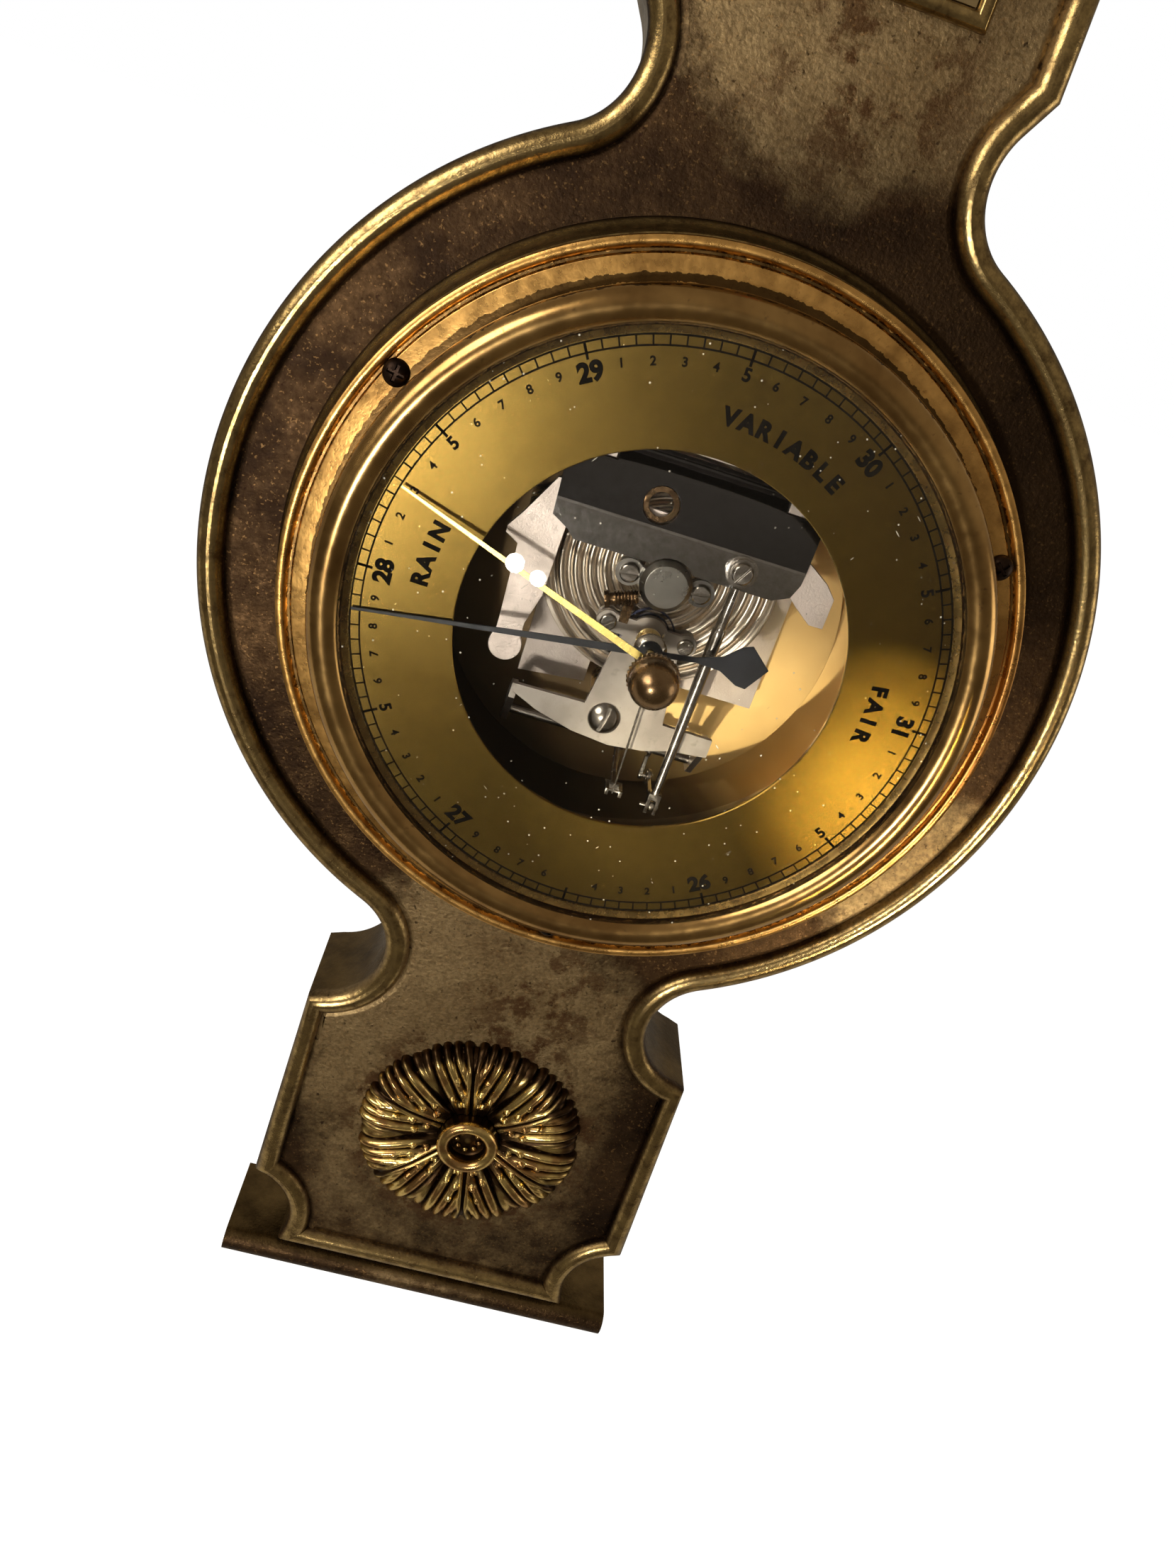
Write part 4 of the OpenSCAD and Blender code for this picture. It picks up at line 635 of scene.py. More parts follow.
def make_plain(name, light, deep, rough, size, depth, metallic=0.0, gloss=0.5):
    f = Finish(name)
    fine = f.cloud(size, 0.34, 0.68, 5.0, 0.6)
    broad = f.cloud(size * 14, 0.38, 0.62, 3.0, 0.5, (4, 9, 2))
    base = f.blend(f.plus(f.times(fine, 0.4), f.times(broad, 0.6)), light, deep)
    f.feed(f.shader, {"Specular IOR Level": gloss})
    return f.done(base, f.spread(fine, *rough), metallic, fine, 0.5, depth)


cover_paint = make_plain("cover_paint", (0.055, 0.052, 0.048), (0.085, 0.078, 0.07), (0.5, 0.68), 1.1, 0.05)
black_rubber = make_plain("black_rubber", (0.022, 0.021, 0.02), (0.035, 0.033, 0.031), (0.62, 0.8), 0.8, 0.05)
scale_plate = make_plain(
    "scale_plate", (0.44, 0.335, 0.17), (0.34, 0.245, 0.115), (0.3, 0.42), 1.6, 0.015, metallic=0.85
)
black_ink = make_plain(
    "black_ink", (0.002, 0.002, 0.0015), (0.006, 0.005, 0.004), (0.7, 0.8), 0.35, 0.002, gloss=0.02
)
red_spirit = make_plain("red_spirit", (0.55, 0.02, 0.02), (0.42, 0.012, 0.015), (0.08, 0.12), 2.0, 0.0)
# The turn, the length, the width in mm and the share left out: dust, then scratches.
SPECKS = ((0.0, 1.0, 0.085, 0.5), (0.7, 7.0, 0.045, 0.78), (2.2, 9.0, 0.040, 0.80))


def make_glass(name, tint):
    f = Finish(name)
    clear = {"Base Color": tint, "Transmission Weight": 1.0, "IOR": 1.28, "Roughness": 0.0, "Metallic": 0.0}
    f.feed(f.shader, clear)
    speck = 0.0
    for lean, length, wide, share in SPECKS:
        laid = {"Vector": f.mm, "Rotation": (0, lean, 0), "Scale": (length, 1, 1)}
        laid = f.add("ShaderNodeMapping", laid, vector_type="TEXTURE")[0]
        flakes = f.add("ShaderNodeTexVoronoi", {"Vector": laid, "Scale": 0.42})
        dot = f.ramp(flakes["Distance"], wide, wide * 0.5)
        chance = f.add("ShaderNodeSeparateColor", {"Color": flakes["Color"]})[0]
        speck = f.plus(f.times(dot, f.maths("GREATER_THAN", chance, share)), speck)
    patch = f.cloud(22, 0.40, 0.62, 2.0, 0.5, (2, 40, 6))
    speck = f.times(speck, f.plus(patch, 0.3))
    dust = f.add("ShaderNodeBsdfDiffuse", {"Color": (0.85, 0.80, 0.68)})[0]
    dusty = {"Fac": f.times(speck, 0.9), 1: f.shader.outputs[0], 2: dust}
    dusty = f.add("ShaderNodeMixShader", dusty)[0]
    shadow_ray = f.add("ShaderNodeLightPath")["Is Shadow Ray"]
    open_way = f.add("ShaderNodeBsdfTransparent", {"Color": tint})[0]
    let_in = f.add("ShaderNodeMixShader", {"Fac": shadow_ray, 1: dusty, 2: open_way})[0]
    f.add("ShaderNodeOutputMaterial", {"Surface": let_in})
    return f.material


clear_glass = make_glass("clear_glass", (0.985, 0.985, 0.97))
print("made", len(bpy.data.materials), "materials in all")

# %% [markdown]
# ## Making a piece
#
# Every piece goes through the same end: its mesh is made in the frame's place, shaded
# smooth with its real edges kept sharp, given its finish, its body and the CAD nodes
# that it stands for. A function that does this keeps the cells about the shapes.


def show(obj):
    """Puts an object into the scene, once."""
    if obj.name not in scene.collection.objects:
        scene.collection.objects.link(obj)
    return obj


def finish_piece(obj, material, hides=(), body="case", edge=35):
    """Shades a piece, gives it its finish and lets it ride on its body."""
    mesh = show(obj).data
    mesh.materials.clear()
    mesh.materials.append(material)
    if edge is not None:
        mesh.polygons.foreach_set("use_smooth", [True] * len(mesh.polygons))
        mesh.set_sharp_from_angle(angle=math.radians(edge))
    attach(obj, body)
    if hides:
        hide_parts(*hides)
    # The CAD model holds some of these names too, so Blender adds a number to ours.
    return obj


def reworked(mesh, change):
    """Applies a bmesh change to a mesh."""
    work = bmesh.new()
    work.from_mesh(mesh)
    change(work)
    work.to_mesh(mesh)
    work.free()


def outward(obj):
    """Turns all faces of a closed piece outwards."""
    reworked(obj.data, lambda work: bmesh.ops.recalc_face_normals(work, faces=work.faces))
    return obj


def dial_mesh(name, verts, faces):
    """A mesh object from points in dial axes."""
    mesh = bpy.data.meshes.new(name)
    mesh.from_pydata([at(*v) for v in verts], [], faces)
    return bpy.data.objects.new(name, mesh)


def profile_area(profile):
    return sum(a[0] * b[1] - b[0] * a[1] for a, b in zip(profile, profile[1:] + profile[:1])) / 2


def lathe(profile, steps=144, centre=(0.0, 0.0), ring=True, waves=None, inside=False):
    """Turns a section of (radius, height) points round the dial's axis.

    ring closes the section on itself. Without it the ends lie on the axis. The points
    may come in either sense: the faces are always turned outwards, or inwards for the
    wall of a hollow. waves(radius, height, degrees) adds to the radius.
    """
    section = list(profile)
    if (profile_area(section) < 0) != inside:
        section.reverse()
    verts, rows = [], []
    for r, h in section:
        if r < 1e-6:
            rows.append([len(verts)])
            verts.append((*centre, h))
            continue
        rows.append(range(len(verts), len(verts) + steps))
        for i in range(steps):
            a = 360.0 * i / steps
            wave = waves(r, h, a) if waves else 0.0
            verts.append((*on_circle(r + wave, a, centre), h))
    pairs = list(zip(rows, rows[1:])) + ([(rows[-1], rows[0])] if ring else [])
    faces = []
    for a, b in pairs:
        if len(a) == 1 and len(b) == 1:
            continue
        for i in range(steps):
            j = (i + 1) % steps
            if len(a) == 1:
                faces.append((a[0], b[j], b[i]))
            elif len(b) == 1:
                faces.append((a[i], a[j], b[0]))
            else:
                faces.append((a[i], a[j], b[j], b[i]))
    return verts, faces


def turned_piece(name, section, steps, material, node, body="case", edge=35, **more):
    """A finished piece that is one section turned on the lathe."""
    return finish_piece(dial_mesh(name, *lathe(section, steps, **more)), material, [node], body, edge)


def shifted(r, h, *steps):
    """Points of a section, each given by its steps from a radius and a height."""
    return [(r + dr, h + dh) for dr, dh in steps]


print("helpers for turned pieces are ready")

# %% [markdown]
# ## The pressed case
#
# On the real piece a press draws the sheet into a shallow box: a deep side wall, a half
# round bead all along its edge and a flat field inside the bead. In the mesh this is
# one section swept along the outline. The outline is made of arcs and straight lines,
# and each of its points knows its mitre, which is the direction in which the section
# is set off. The field is then filled between the inner edge of the sweep and the
# round opening for the movement.

# %% The case's outline
NECK_Y = math.sqrt((BODY_R + NECK_R) ** 2 - NECK_X**2)
NECK_A = math.degrees(math.atan2(NECK_Y, NECK_X))
FOOT_IN, FOOT_UP = 5.7, 4
FOOT_C = (FOOT_X + FOOT_IN, PANEL_BOTTOM + FOOT_UP)


def straight(p, q, steps):
    """Points between p and q without the ends, each (x, y, bead width)."""
    shares = [i / steps for i in range(1, steps)]
    return [tuple(a + (b - a) * t for a, b in zip(p, q)) for t in shares]


def full(*arc_values):
    """An arc along which the bead has its full width."""
    return [(x, y, 1.0) for x, y in arc(*arc_values)]


def case_outline():
    foot_start = 180 + math.degrees(math.asin(FOOT_UP / FOOT_R))
    foot_end = math.degrees(math.acos(-FOOT_IN / FOOT_R))
    foot = full(FOOT_C, FOOT_R, foot_start, foot_end, 28)
    waist_a = 270 - math.degrees(math.asin((NECK_X - WAIST_X) / NECK_R))
    waist = (WAIST_X, -NECK_Y - NECK_R * math.sin(math.radians(waist_a - 180)), SLIM)
    lower = full((NECK_X, -NECK_Y), NECK_R, waist_a - 6, 180 - NECK_A, 36)
    body = full((0, 0), BODY_R, 1 - NECK_A, NECK_A - 1, 110)
    upper = full((NECK_X, NECK_Y), NECK_R, 180 + NECK_A, 148, 30)
    corner = full((CREST_R + CORNER_R, CREST_Y), CORNER_R, 257, 180, 16)
    crest = full((0, CREST_Y), CREST_R, 6, 90, 18)
    bottom = (0.0, PANEL_BOTTOM, 1.0)
    half = [bottom] + straight(bottom, foot[0], 6) + foot + straight(foot[-1], waist, 6) + [waist]
    half += lower + body + upper + [SHOULDER] + straight(SHOULDER, corner[0], 10) + corner + crest
    return half + [(-x, y, w) for x, y, w in half[-2:0:-1]]


OUTLINE = case_outline()


def mitres(points):
    """The outward mitre direction at each point of a closed outline."""
    found = []
    for i, (x, y, _) in enumerate(points):
        p, r = points[i - 1], points[(i + 1) % len(points)]
        a = Vector((x - p[0], y - p[1])).normalized()
        b = Vector((r[0] - x, r[1] - y)).normalized()
        n1, n2 = Vector((a.y, -a.x)), Vector((b.y, -b.x))
        found.append((n1 + n2) / (1 + n1.dot(n2)))
    return found


MITRES = mitres(OUTLINE)


def set_off(distance):
    """The outline moved outwards by distance, less where the bead is slim."""
    return [(x + m.x * distance * w, y + m.y * distance * w) for (x, y, w), m in zip(OUTLINE, MITRES)]


print("the outline has", len(OUTLINE), "points")

# %% The pressed case
BEAD_FOOT = 0.4
FIELD_EDGE = -BEAD_HALF - 1.2
OPENING_R = SEAT_IN_R - 1
OPENING_STEPS = 144


def case_section():
    """The wall and the bead, then the two points under the sheet: (offset, height)."""
    inner = BEAD_HALF - SHEET
    bead = arc((0.0, PLATE_H - BEAD_FOOT), BEAD_HALF, 0, 180, 15, BEAD_H + BEAD_FOOT)
    groove = shifted(-BEAD_HALF, PLATE_H, (-0.25, -0.28), (-0.7, -0.06)) + [(FIELD_EDGE, PLATE_H)]
    under = [(FIELD_EDGE, PLATE_H - SHEET), (inner, PLATE_H - SHEET)]
    return [(inner, RIM_H), (BEAD_HALF, RIM_H)] + bead + groove, under


def make_case():
    section, under = case_section()
    n = len(OUTLINE)
    verts, faces = [], []
    for d, h in section + under:
        verts += [(x, y, h) for x, y in set_off(d)]
    edge_row, back_row = len(section) - 1, len(section)
    order = list(range(len(section + under))) + [0]
    for k, m in zip(order, order[1:]):
        if (k, m) != (edge_row, back_row):
            faces += [(k * n + i, k * n + (i + 1) % n, m * n + (i + 1) % n, m * n + i) for i in range(n)]
    opening = [on_circle(OPENING_R, -360.0 * i / OPENING_STEPS) for i in range(OPENING_STEPS)]
    for row, h in ((edge_row, PLATE_H), (back_row, PLATE_H - SHEET)):
        names = list(range(row * n, row * n + n)) + list(range(len(verts), len(verts) + OPENING_STEPS))
        verts += [(x, y, h) for x, y in opening]
        outer = [Vector((*verts[row * n + i][:2], 0)) for i in range(n)]
        hole = [Vector((x, y, 0)) for x, y in opening]
        for corners in tessellate_polygon([outer, hole]):
            face = tuple(names[c] for c in corners)
            p, q, r = (Vector(verts[v][:2]) for v in face)
            up = (q - p).cross(r - p) > 0
            faces.append(face if up == (row == edge_row) else face[::-1])
    front, back = len(verts) - 2 * OPENING_STEPS, len(verts) - OPENING_STEPS
    for i in range(OPENING_STEPS):
        j = (i + 1) % OPENING_STEPS
        faces.append((front + i, front + j, back + j, back + i))
    obj = finish_piece(outward(dial_mesh("case_body", verts, faces)), aged_brass, ["case_shell"], edge=40)
    for face in obj.data.polygons:
        if abs(face.normal.y) > 0.99999:
            face.use_smooth = False
    return obj


print("case_body has", len(make_case().data.polygons), "faces")

# %% [markdown]
# ## Turned rings
#
# The seat ring, the flange, the bezel, the sight ring and the drum are all spun or
# turned on a lathe, so each is one section carried round the axis. The sections get
# the small radii that a turning tool leaves, which is where metal catches the light.
# The bezel is one round bead.

# %% Turned rings
SEAT_FOOT = ((2.4, 0), (2.35, 0.5), (1.95, 1.0), (1.4, 1.5), (0.95, 2.2), (0.6, 3.1), (0.42, 4.0), (0.3, 6.2))
seat_section = [(SEAT_IN_R, PLATE_H)] + shifted(FLANGE_R, PLATE_H, *SEAT_FOOT)
seat_section += shifted(FLANGE_R, SEAT_TOP, (0.2, -0.25), (-0.05, 0)) + [(SEAT_IN_R, SEAT_TOP)]
FLANGE_RIM = (
    (0, -0.1), (-0.12, 0.22), (-0.45, 0.38), (-0.9, 0.42), (-1.35, 0.36), (-1.68, 0.1),
    (-1.85, -0.4), (-2.05, -0.6), (-2.45, -0.6), (-2.65, -0.4), (-2.8, -0.06), (-2.95, 0),
)
flange_section = [(DRUM_R + 0.2, SEAT_TOP)] + shifted(FLANGE_R, SEAT_TOP, (-0.15, 0), (0, 0.15))
flange_section += shifted(FLANGE_R, FLANGE_FACE, *FLANGE_RIM) + [(DRUM_R + 0.2, FLANGE_FACE)]
BEZEL_IN = GLASS_R - 1.2
BEZEL_BEAD_H = 0.7
bezel_half = (BEZEL_R - BEZEL_IN) / 2
bezel_section = [(DIAL_R + 0.4, FLANGE_FACE), (BEZEL_R - 0.45, FLANGE_FACE)]
bezel_section += [(BEZEL_R - 0.3, FLANGE_FACE + 0.15), (BEZEL_R - 0.3, -0.7)]
bezel_section += arc((BEZEL_IN + bezel_half, BEZEL_BEAD_H), bezel_half, -14, 176, 30, BEZEL_BEAD_R)
bezel_section += [(DIAL_R + 0.4, 0.9)]
SIGHT_STEPS = ((-2.6, 0.02), (0, 0.02), (0, 0.98), (-1.0, 0.98), (-1.2, 0.9), (-2.45, 0.4), (-2.6, 0.26))
turned_piece("seat_ring_turned", seat_section, 180, aged_brass, "seat_ring")
turned_piece("flange_turned", flange_section, 180, gold_lacquer, "flange_ring")
turned_piece("bezel_turned", bezel_section, 180, bezel_brass, "bezel")
turned_piece("sight_ring_turned", shifted(DIAL_R, 0, *SIGHT_STEPS), 180, sight_gold, "sight_ring")
print("turned the seat ring, the flange, the bezel and the sight ring")

# %% [markdown]
# ## The glass
#
# The glass is pressed from a flat pane, so it is a slice of a sphere of even
# thickness, with a small hole for the knob's spindle. Two arcs make its section. The
# dome turns the two lamps into the two bright points that show in the photograph.

# %% The glass
SAG = GLASS_TOP - GLASS_EDGE
GLASS_SPHERE = (GLASS_R**2 + SAG**2) / (2 * SAG)
GLASS_HOLE = 1.6


def cap(radius):
    """The arc of the dome from the hole to the rim, for one face of the pane."""
    start = math.degrees(math.acos(GLASS_HOLE / radius))
    stop = math.degrees(math.acos(GLASS_R / radius))
    return arc((0.0, GLASS_TOP - GLASS_SPHERE), radius, start, stop, 28)


pane = cap(GLASS_SPHERE) + cap(GLASS_SPHERE - GLASS_T)[::-1]
turned_piece("glass_dome", pane, 160, clear_glass, "glass", edge=40)
print("the glass bulges", round(SAG, 2), "mm over", round(2 * GLASS_R, 1), "mm")

# %% [markdown]
# ## Geometry Nodes: rings and rows of copies
#
# Much of a barometer is one shape repeated: screws, ticks and beads round a circle,
# the thermometer's ticks and the chain's links in a row. Both trees take the piece to
# copy and the count, set a point for each copy, make the copies real and give them
# their finish. The ring also turns each copy to face outwards. The result is read back
# as a plain mesh.

# %% Rings and rows of copies


def shape_tree(name, sockets):
    """A new tree that makes a shape, and the outputs of its inputs by name."""
    tree = bpy.data.node_groups.new(name, "GeometryNodeTree")
    for title, kind in sockets.items():
        tree.interface.new_socket(title, in_out="INPUT", socket_type="NodeSocket" + kind)
    tree.interface.new_socket("Geometry", in_out="OUTPUT", socket_type="NodeSocketGeometry")
    n = Nodes(tree)
    return n, n.add("NodeGroupInput")


def end_tree(n, shape, material):
    """Realize Instances and Set Material end every tree."""
    real = n.add("GeometryNodeRealizeInstances", {"Geometry": shape})[0]
    painted = n.add("GeometryNodeSetMaterial", {"Geometry": real, "Material": material})[0]
    n.add("NodeGroupOutput", {"Geometry": painted})
    return n.tree


def copy_tree(name, sockets, spots):
    """A tree that sets copies of a piece on the points that spots(n, given, order) gives."""
    common = {"Piece": "Object", "Count": "Int", "Finish": "Material"}
    n, given = shape_tree(name, {**common, **sockets})
    order = n.add("GeometryNodeInputIndex")[0]
    spot, facing = spots(n, given, order)
    points = n.add("GeometryNodePoints", {"Count": given["Count"], "Position": spot})[0]
    piece = n.add("GeometryNodeObjectInfo", {"Object": given["Piece"]})["Geometry"]
    copies = {"Points": points, "Instance": piece, "Rotation": facing}
    copies = n.add("GeometryNodeInstanceOnPoints", copies)[0]
    return end_tree(n, copies, given["Finish"])


def ring_spots(n, given, order):
    angle = n.maths("RADIANS", n.maths("MULTIPLY_ADD", order, given["Step"], given["Start"]))
    x = n.maths("MULTIPLY", n.maths("COSINE", angle), given["Radius"])
    z = n.maths("MULTIPLY", n.maths("SINE", angle), given["Radius"])
    local = n.add("ShaderNodeCombineXYZ", {"X": x, "Z": z})[0]
    facing = n.add("ShaderNodeCombineXYZ", {"Y": n.maths("MULTIPLY", angle, -1.0)})[0]
    return n.vector("ADD", local, given["Centre"])[0], facing


def row_spots(n, given, order):
    share = n.maths("DIVIDE", order, n.maths("SUBTRACT", given["Count"], 1.0))
    ends = {"Factor": share, 4: given["From"], 5: given["To"]}
    return n.add("ShaderNodeMix", ends, data_type="VECTOR")[1], (0.0, 0.0, 0.0)


RING_SOCKETS = {"Radius": "Float", "Start": "Float", "Step": "Float", "Centre": "Vector"}
RING_TREE = copy_tree("ring_of_copies", RING_SOCKETS, ring_spots)
ROW_TREE = copy_tree("row_of_copies", {"From": "Vector", "To": "Vector"}, row_spots)


def plain_mesh(obj):
    """What an object's modifiers or letters make, as a plain mesh."""
    graph = bpy.context.evaluated_depsgraph_get()
    graph.update()
    return bpy.data.meshes.new_from_object(obj.evaluated_get(graph))


def run_tree(tree, name, values):
    """A plain mesh object made by a node tree with these values."""
    obj = show(bpy.data.objects.new(name + "_maker", bpy.data.meshes.new(name + "_maker")))
    modifier = obj.modifiers.new(name, "NODES")
    modifier.node_group = tree
    for item in tree.interface.items_tree:
        if item.in_out == "INPUT":
            modifier[item.identifier] = values[item.name]
    mesh = plain_mesh(obj)
    mesh.name = name
    bpy.data.objects.remove(obj)
    return bpy.data.objects.new(name, mesh)


def ring_of(name, piece, count, radius, start, step, centre, material):
    """Copies of a small piece on a circle in dial axes. The piece itself goes."""
    values = {"Piece": show(piece), "Count": count, "Finish": material, "Radius": radius * MM}
    values.update({"Start": float(start), "Step": float(step), "Centre": at(*centre)})
    made = run_tree(RING_TREE, name, values)
    bpy.data.objects.remove(piece)
    return made


def row_of(name, piece, count, start, stop, material):
    """Copies of a small piece between two dial points. The piece itself goes."""
    values = {"Piece": show(piece), "Count": count, "Finish": material, "From": at(*start), "To": at(*stop)}
    made = run_tree(ROW_TREE, name, values)
    bpy.data.objects.remove(piece)
    return made


print("the ring tree has", len(RING_TREE.nodes), "nodes, the row tree", len(ROW_TREE.nodes))

# %% [markdown]
# ## Screws
#
# The three flange screws have domed heads with a cross recess, browned with age. One
# head is turned, its recess is cut with two crossed bars, and the ring tree sets the
# three in place.

# %% Flange screws


def small_mesh(name, verts, faces):
    """A loose shape about the origin in dial directions, for a tree to copy."""
    mesh = bpy.data.meshes.new(name)
    mesh.from_pydata([(x * MM, -h * MM, y * MM) for x, y, h in verts], [], faces)
    return bpy.data.objects.new(name, mesh)


def box_mesh(name, x1, x2, y1, y2, h1, h2, degrees=0.0):
    """A small box in dial directions, turned about the axis."""
    cos, sin = math.cos(math.radians(degrees)), math.sin(math.radians(degrees))
    corners = [(x, y, h) for x in (x1, x2) for y in (y1, y2) for h in (h1, h2)]
    turned = [(x * cos - y * sin, x * sin + y * cos, h) for x, y, h in corners]
    sides = [(0, 1, 3, 2), (4, 6, 7, 5), (0, 4, 5, 1), (2, 3, 7, 6), (0, 2, 6, 4), (1, 5, 7, 3)]
    return small_mesh(name, turned, sides)


def cut(obj, *tools):
    """Cuts closed shapes out of a piece and keeps the plain result."""
    show(obj)
    for tool in tools:
        step = obj.modifiers.new("cut", "BOOLEAN")
        step.object = show(tool)
        step.operation = "DIFFERENCE"
        step.solver = "EXACT"
        mesh = plain_mesh(obj)
        obj.modifiers.remove(step)
        obj.data = mesh
        bpy.data.objects.remove(tool)
    return obj


HEAD = [(0.0, 1.5), (0.7, 1.45), (1.3, 1.28), (1.8, 0.98), (2.12, 0.6), (2.28, 0.2), (2.3, 0.0)]
SHANK = [(1.3, 0.0), (1.3, -7.4), (0.0, -7.4)]
RECESS_LONG, RECESS_WIDE = 1.45, 0.31


def make_flange_screws():
    head = small_mesh("screw_head", *lathe(HEAD + SHANK, 40, ring=False))
    bar = (-RECESS_LONG, RECESS_LONG, -RECESS_WIDE, RECESS_WIDE, 0.55, 2.5)
    head = cut(head, *(outward(box_mesh("bar", *bar, degrees)) for degrees in (20, 110)))
    screws = ring_of("flange_screws_set", head, 3, SCREW_RING_R, 30, 120, (0, 0, FLANGE_FACE), dark_screw)
    return finish_piece(screws, dark_screw, ["flange_screws"], edge=30)


print("the flange screws have", len(make_flange_screws().data.polygons), "faces")

# %% [markdown]
# ## The dial and its print
#
# The dial is a flat ring of brushed gold with black print: two fine circles with a
# scale between them, long ticks at the whole and half inches of mercury, and numbers.
# A whole inch takes 60 degrees, so a tenth is 6 degrees and each cell of the scale is
# half a tenth. The ticks are a ring of copies. The numbers are Blender's own letters,
# turned to stand on the circle as they do in the photograph.

# %% The dial's plate, ticks and circles
TICK_IN, TICK_OUT, TICK_LONG = 50.0, 51.65, 49.0
LINE_HALF = 0.15
PRINT_H = 0.02
EDGE_IN, EDGE_DOWN = 0.16, 0.14
dial_section = [(DIAL_OPEN_R, -DIAL_T), (DIAL_R, -DIAL_T), (DIAL_R, 0.0)]
dial_section += [(DIAL_OPEN_R + EDGE_IN, 0.0), (DIAL_OPEN_R, -EDGE_DOWN)]
turned_piece("dial_plate", dial_section, 360, dial_gold, "dial", edge=30)


def join(name, objects):
    """One object from several plain meshes, which it takes the place of."""
    work = bmesh.new()
    for obj in objects:
        work.from_mesh(obj.data)
        bpy.data.objects.remove(obj)
    mesh = bpy.data.meshes.new(name)
    work.to_mesh(mesh)
    work.free()
    return bpy.data.objects.new(name, mesh)


def make_scale_print():
    parts = []
    for start, count, step, width in ((TICK_IN, 120, 3, 0.27), (TICK_LONG, 12, 30, 0.45)):
        tick = box_mesh("tick", start, TICK_OUT, -width / 2, width / 2, 0.0, PRINT_H)
        parts.append(ring_of("ticks", tick, count, 0.0, 0, step, (0, 0, 0), black_ink))
    for r in (TICK_IN, TICK_OUT):
        line = shifted(r, 0.0, (-LINE_HALF, 0), (LINE_HALF, 0), (LINE_HALF, PRINT_H), (-LINE_HALF, PRINT_H))
        parts.append(dial_mesh("circle", *lathe(line, 180)))
    return finish_piece(join("dial_scale", parts), black_ink)


print("the scale has", len(make_scale_print().data.polygons), "faces")

# %% The dial's numbers and words
INCH_RING, TENTH_RING, WORD_RING = 47.0, 47.6, 40.8
INCH_SIZE, FIVE_SIZE, TENTH_SIZE, WORD_SIZE = 4.1, 2.9, 2.0, 3.9
LETTER_STEP = 4.1
WORDS = {"VARIABLE": 76, "FAIR": 1, "RAIN": 173}
BARE_TENTH = (26, 5)


def letter(text, size, x, y, turn_degrees, bold, h=0.0):
    """Text centred on a dial point, its top turned by turn_degrees from straight up."""
    curve = bpy.data.curves.new("letter", "FONT")
    curve.body = text
    curve.size = size * MM
    curve.align_x = "CENTER"
    curve.align_y = "CENTER"
    curve.extrude = PRINT_H / 2 * MM
    curve.offset = bold * MM
    curve.resolution_u = 4
    obj = show(bpy.data.objects.new("letter", curve))
    mesh = plain_mesh(obj)
    bpy.data.objects.remove(obj)
    stand = Matrix.Rotation(math.radians(90), 4, "X")
    turned = Matrix.Rotation(math.radians(-turn_degrees), 4, "Y")
    mesh.transform(Matrix.Translation(at(x, y, h + PRINT_H / 2)) @ turned @ stand)
    return bpy.data.objects.new("letter", mesh)


def on_dial(text, size, radius, degrees, outward_top, bold):
    """Text on a circle of the dial, with its top outwards or inwards."""
    turned = degrees - 90 if outward_top else degrees + 90
    return letter(text, size, *on_circle(radius, degrees), turned, bold)


def make_numbers():
    parts = []
    for inches in range(26, 32):
        middle = 60.0 * (31 - inches)
        parts.append(on_dial(str(inches), INCH_SIZE, INCH_RING, middle, inches > 27, 0.21))
        for tenth in range(1, 10):
            if (inches, tenth) == BARE_TENTH:
                continue
            upper_half = inches > 27 and inches < 31 or inches == 27 and tenth > 5
            size, bold = (FIVE_SIZE, 0.10) if tenth == 5 else (TENTH_SIZE, 0.06)
            parts.append(on_dial(str(tenth), size, TENTH_RING, middle - 6.0 * tenth, upper_half, bold))
    for word, middle in WORDS.items():
        for i, c in enumerate(word):
            degrees = middle + LETTER_STEP * ((len(word) - 1) / 2 - i)
            parts.append(on_dial(c, WORD_SIZE, WORD_RING, degrees, True, 0.2))
    return finish_piece(join("dial_numbers", parts), black_ink)


print("the numbers have", len(make_numbers().data.polygons), "faces")

# %% [markdown]
# ## The rosette
#
# The rosette is a cast ornament of six leaves round a hub. Each leaf has a double
# midrib. Rounded fingers branch off it, one after the other, lean outwards and curl
# down at the scalloped rim, with small berries between them. A shape that follows such
# a rule is easiest to write as a height over a polar grid: one function gives the
# height at any radius and angle, and the "ridge" value that the finish uses to tell
# rubbed crests from dark hollows. On each side of a midrib the fingers are bands of
# one number, the place on the midrib from which a leaning line comes. Painted shadow
# darkens the ridges of the rim on the side towards the dial, and a little all round
# where the rim curls under.

# %% The rosette's relief
LEAF_SPAN = 360.0 / 6
LEAF_TURN = 11.0
BRANCHES = (-11.0, -2.6, 4.6, 11.0, 17.0, 23.4)
BRANCH_LEAN = math.tan(math.radians(22))
BERRIES = ((2.0, 9.6, 0.85), (1.9, 13.4, 0.80), (4.0, 11.6, 0.75), (3.1, 16.9, 0.66))
# The side of the rosette, in degrees, on which painted shadow darkens the rim's ridges.
PAINTED_SHADOW_SIDE = 75
RIM_LINE = 24.6


def smooth(x, low, high):
    t = np.clip((x - low) / (high - low), 0.0, 1.0)
    return t * t * (3 - 2 * t)


def dome(d):
    """A round hump: 1 at 0 and 0 from 1 on."""
    return np.sqrt(np.clip(1 - d * d, 0, 1))


def leaf_place(r, a):
    """Distance from the nearest midrib, and distance along it, in mm."""
    off = np.radians(((a - LEAF_TURN) % LEAF_SPAN) - LEAF_SPAN / 2)
    return np.abs(r * np.sin(off)), r * np.cos(off)


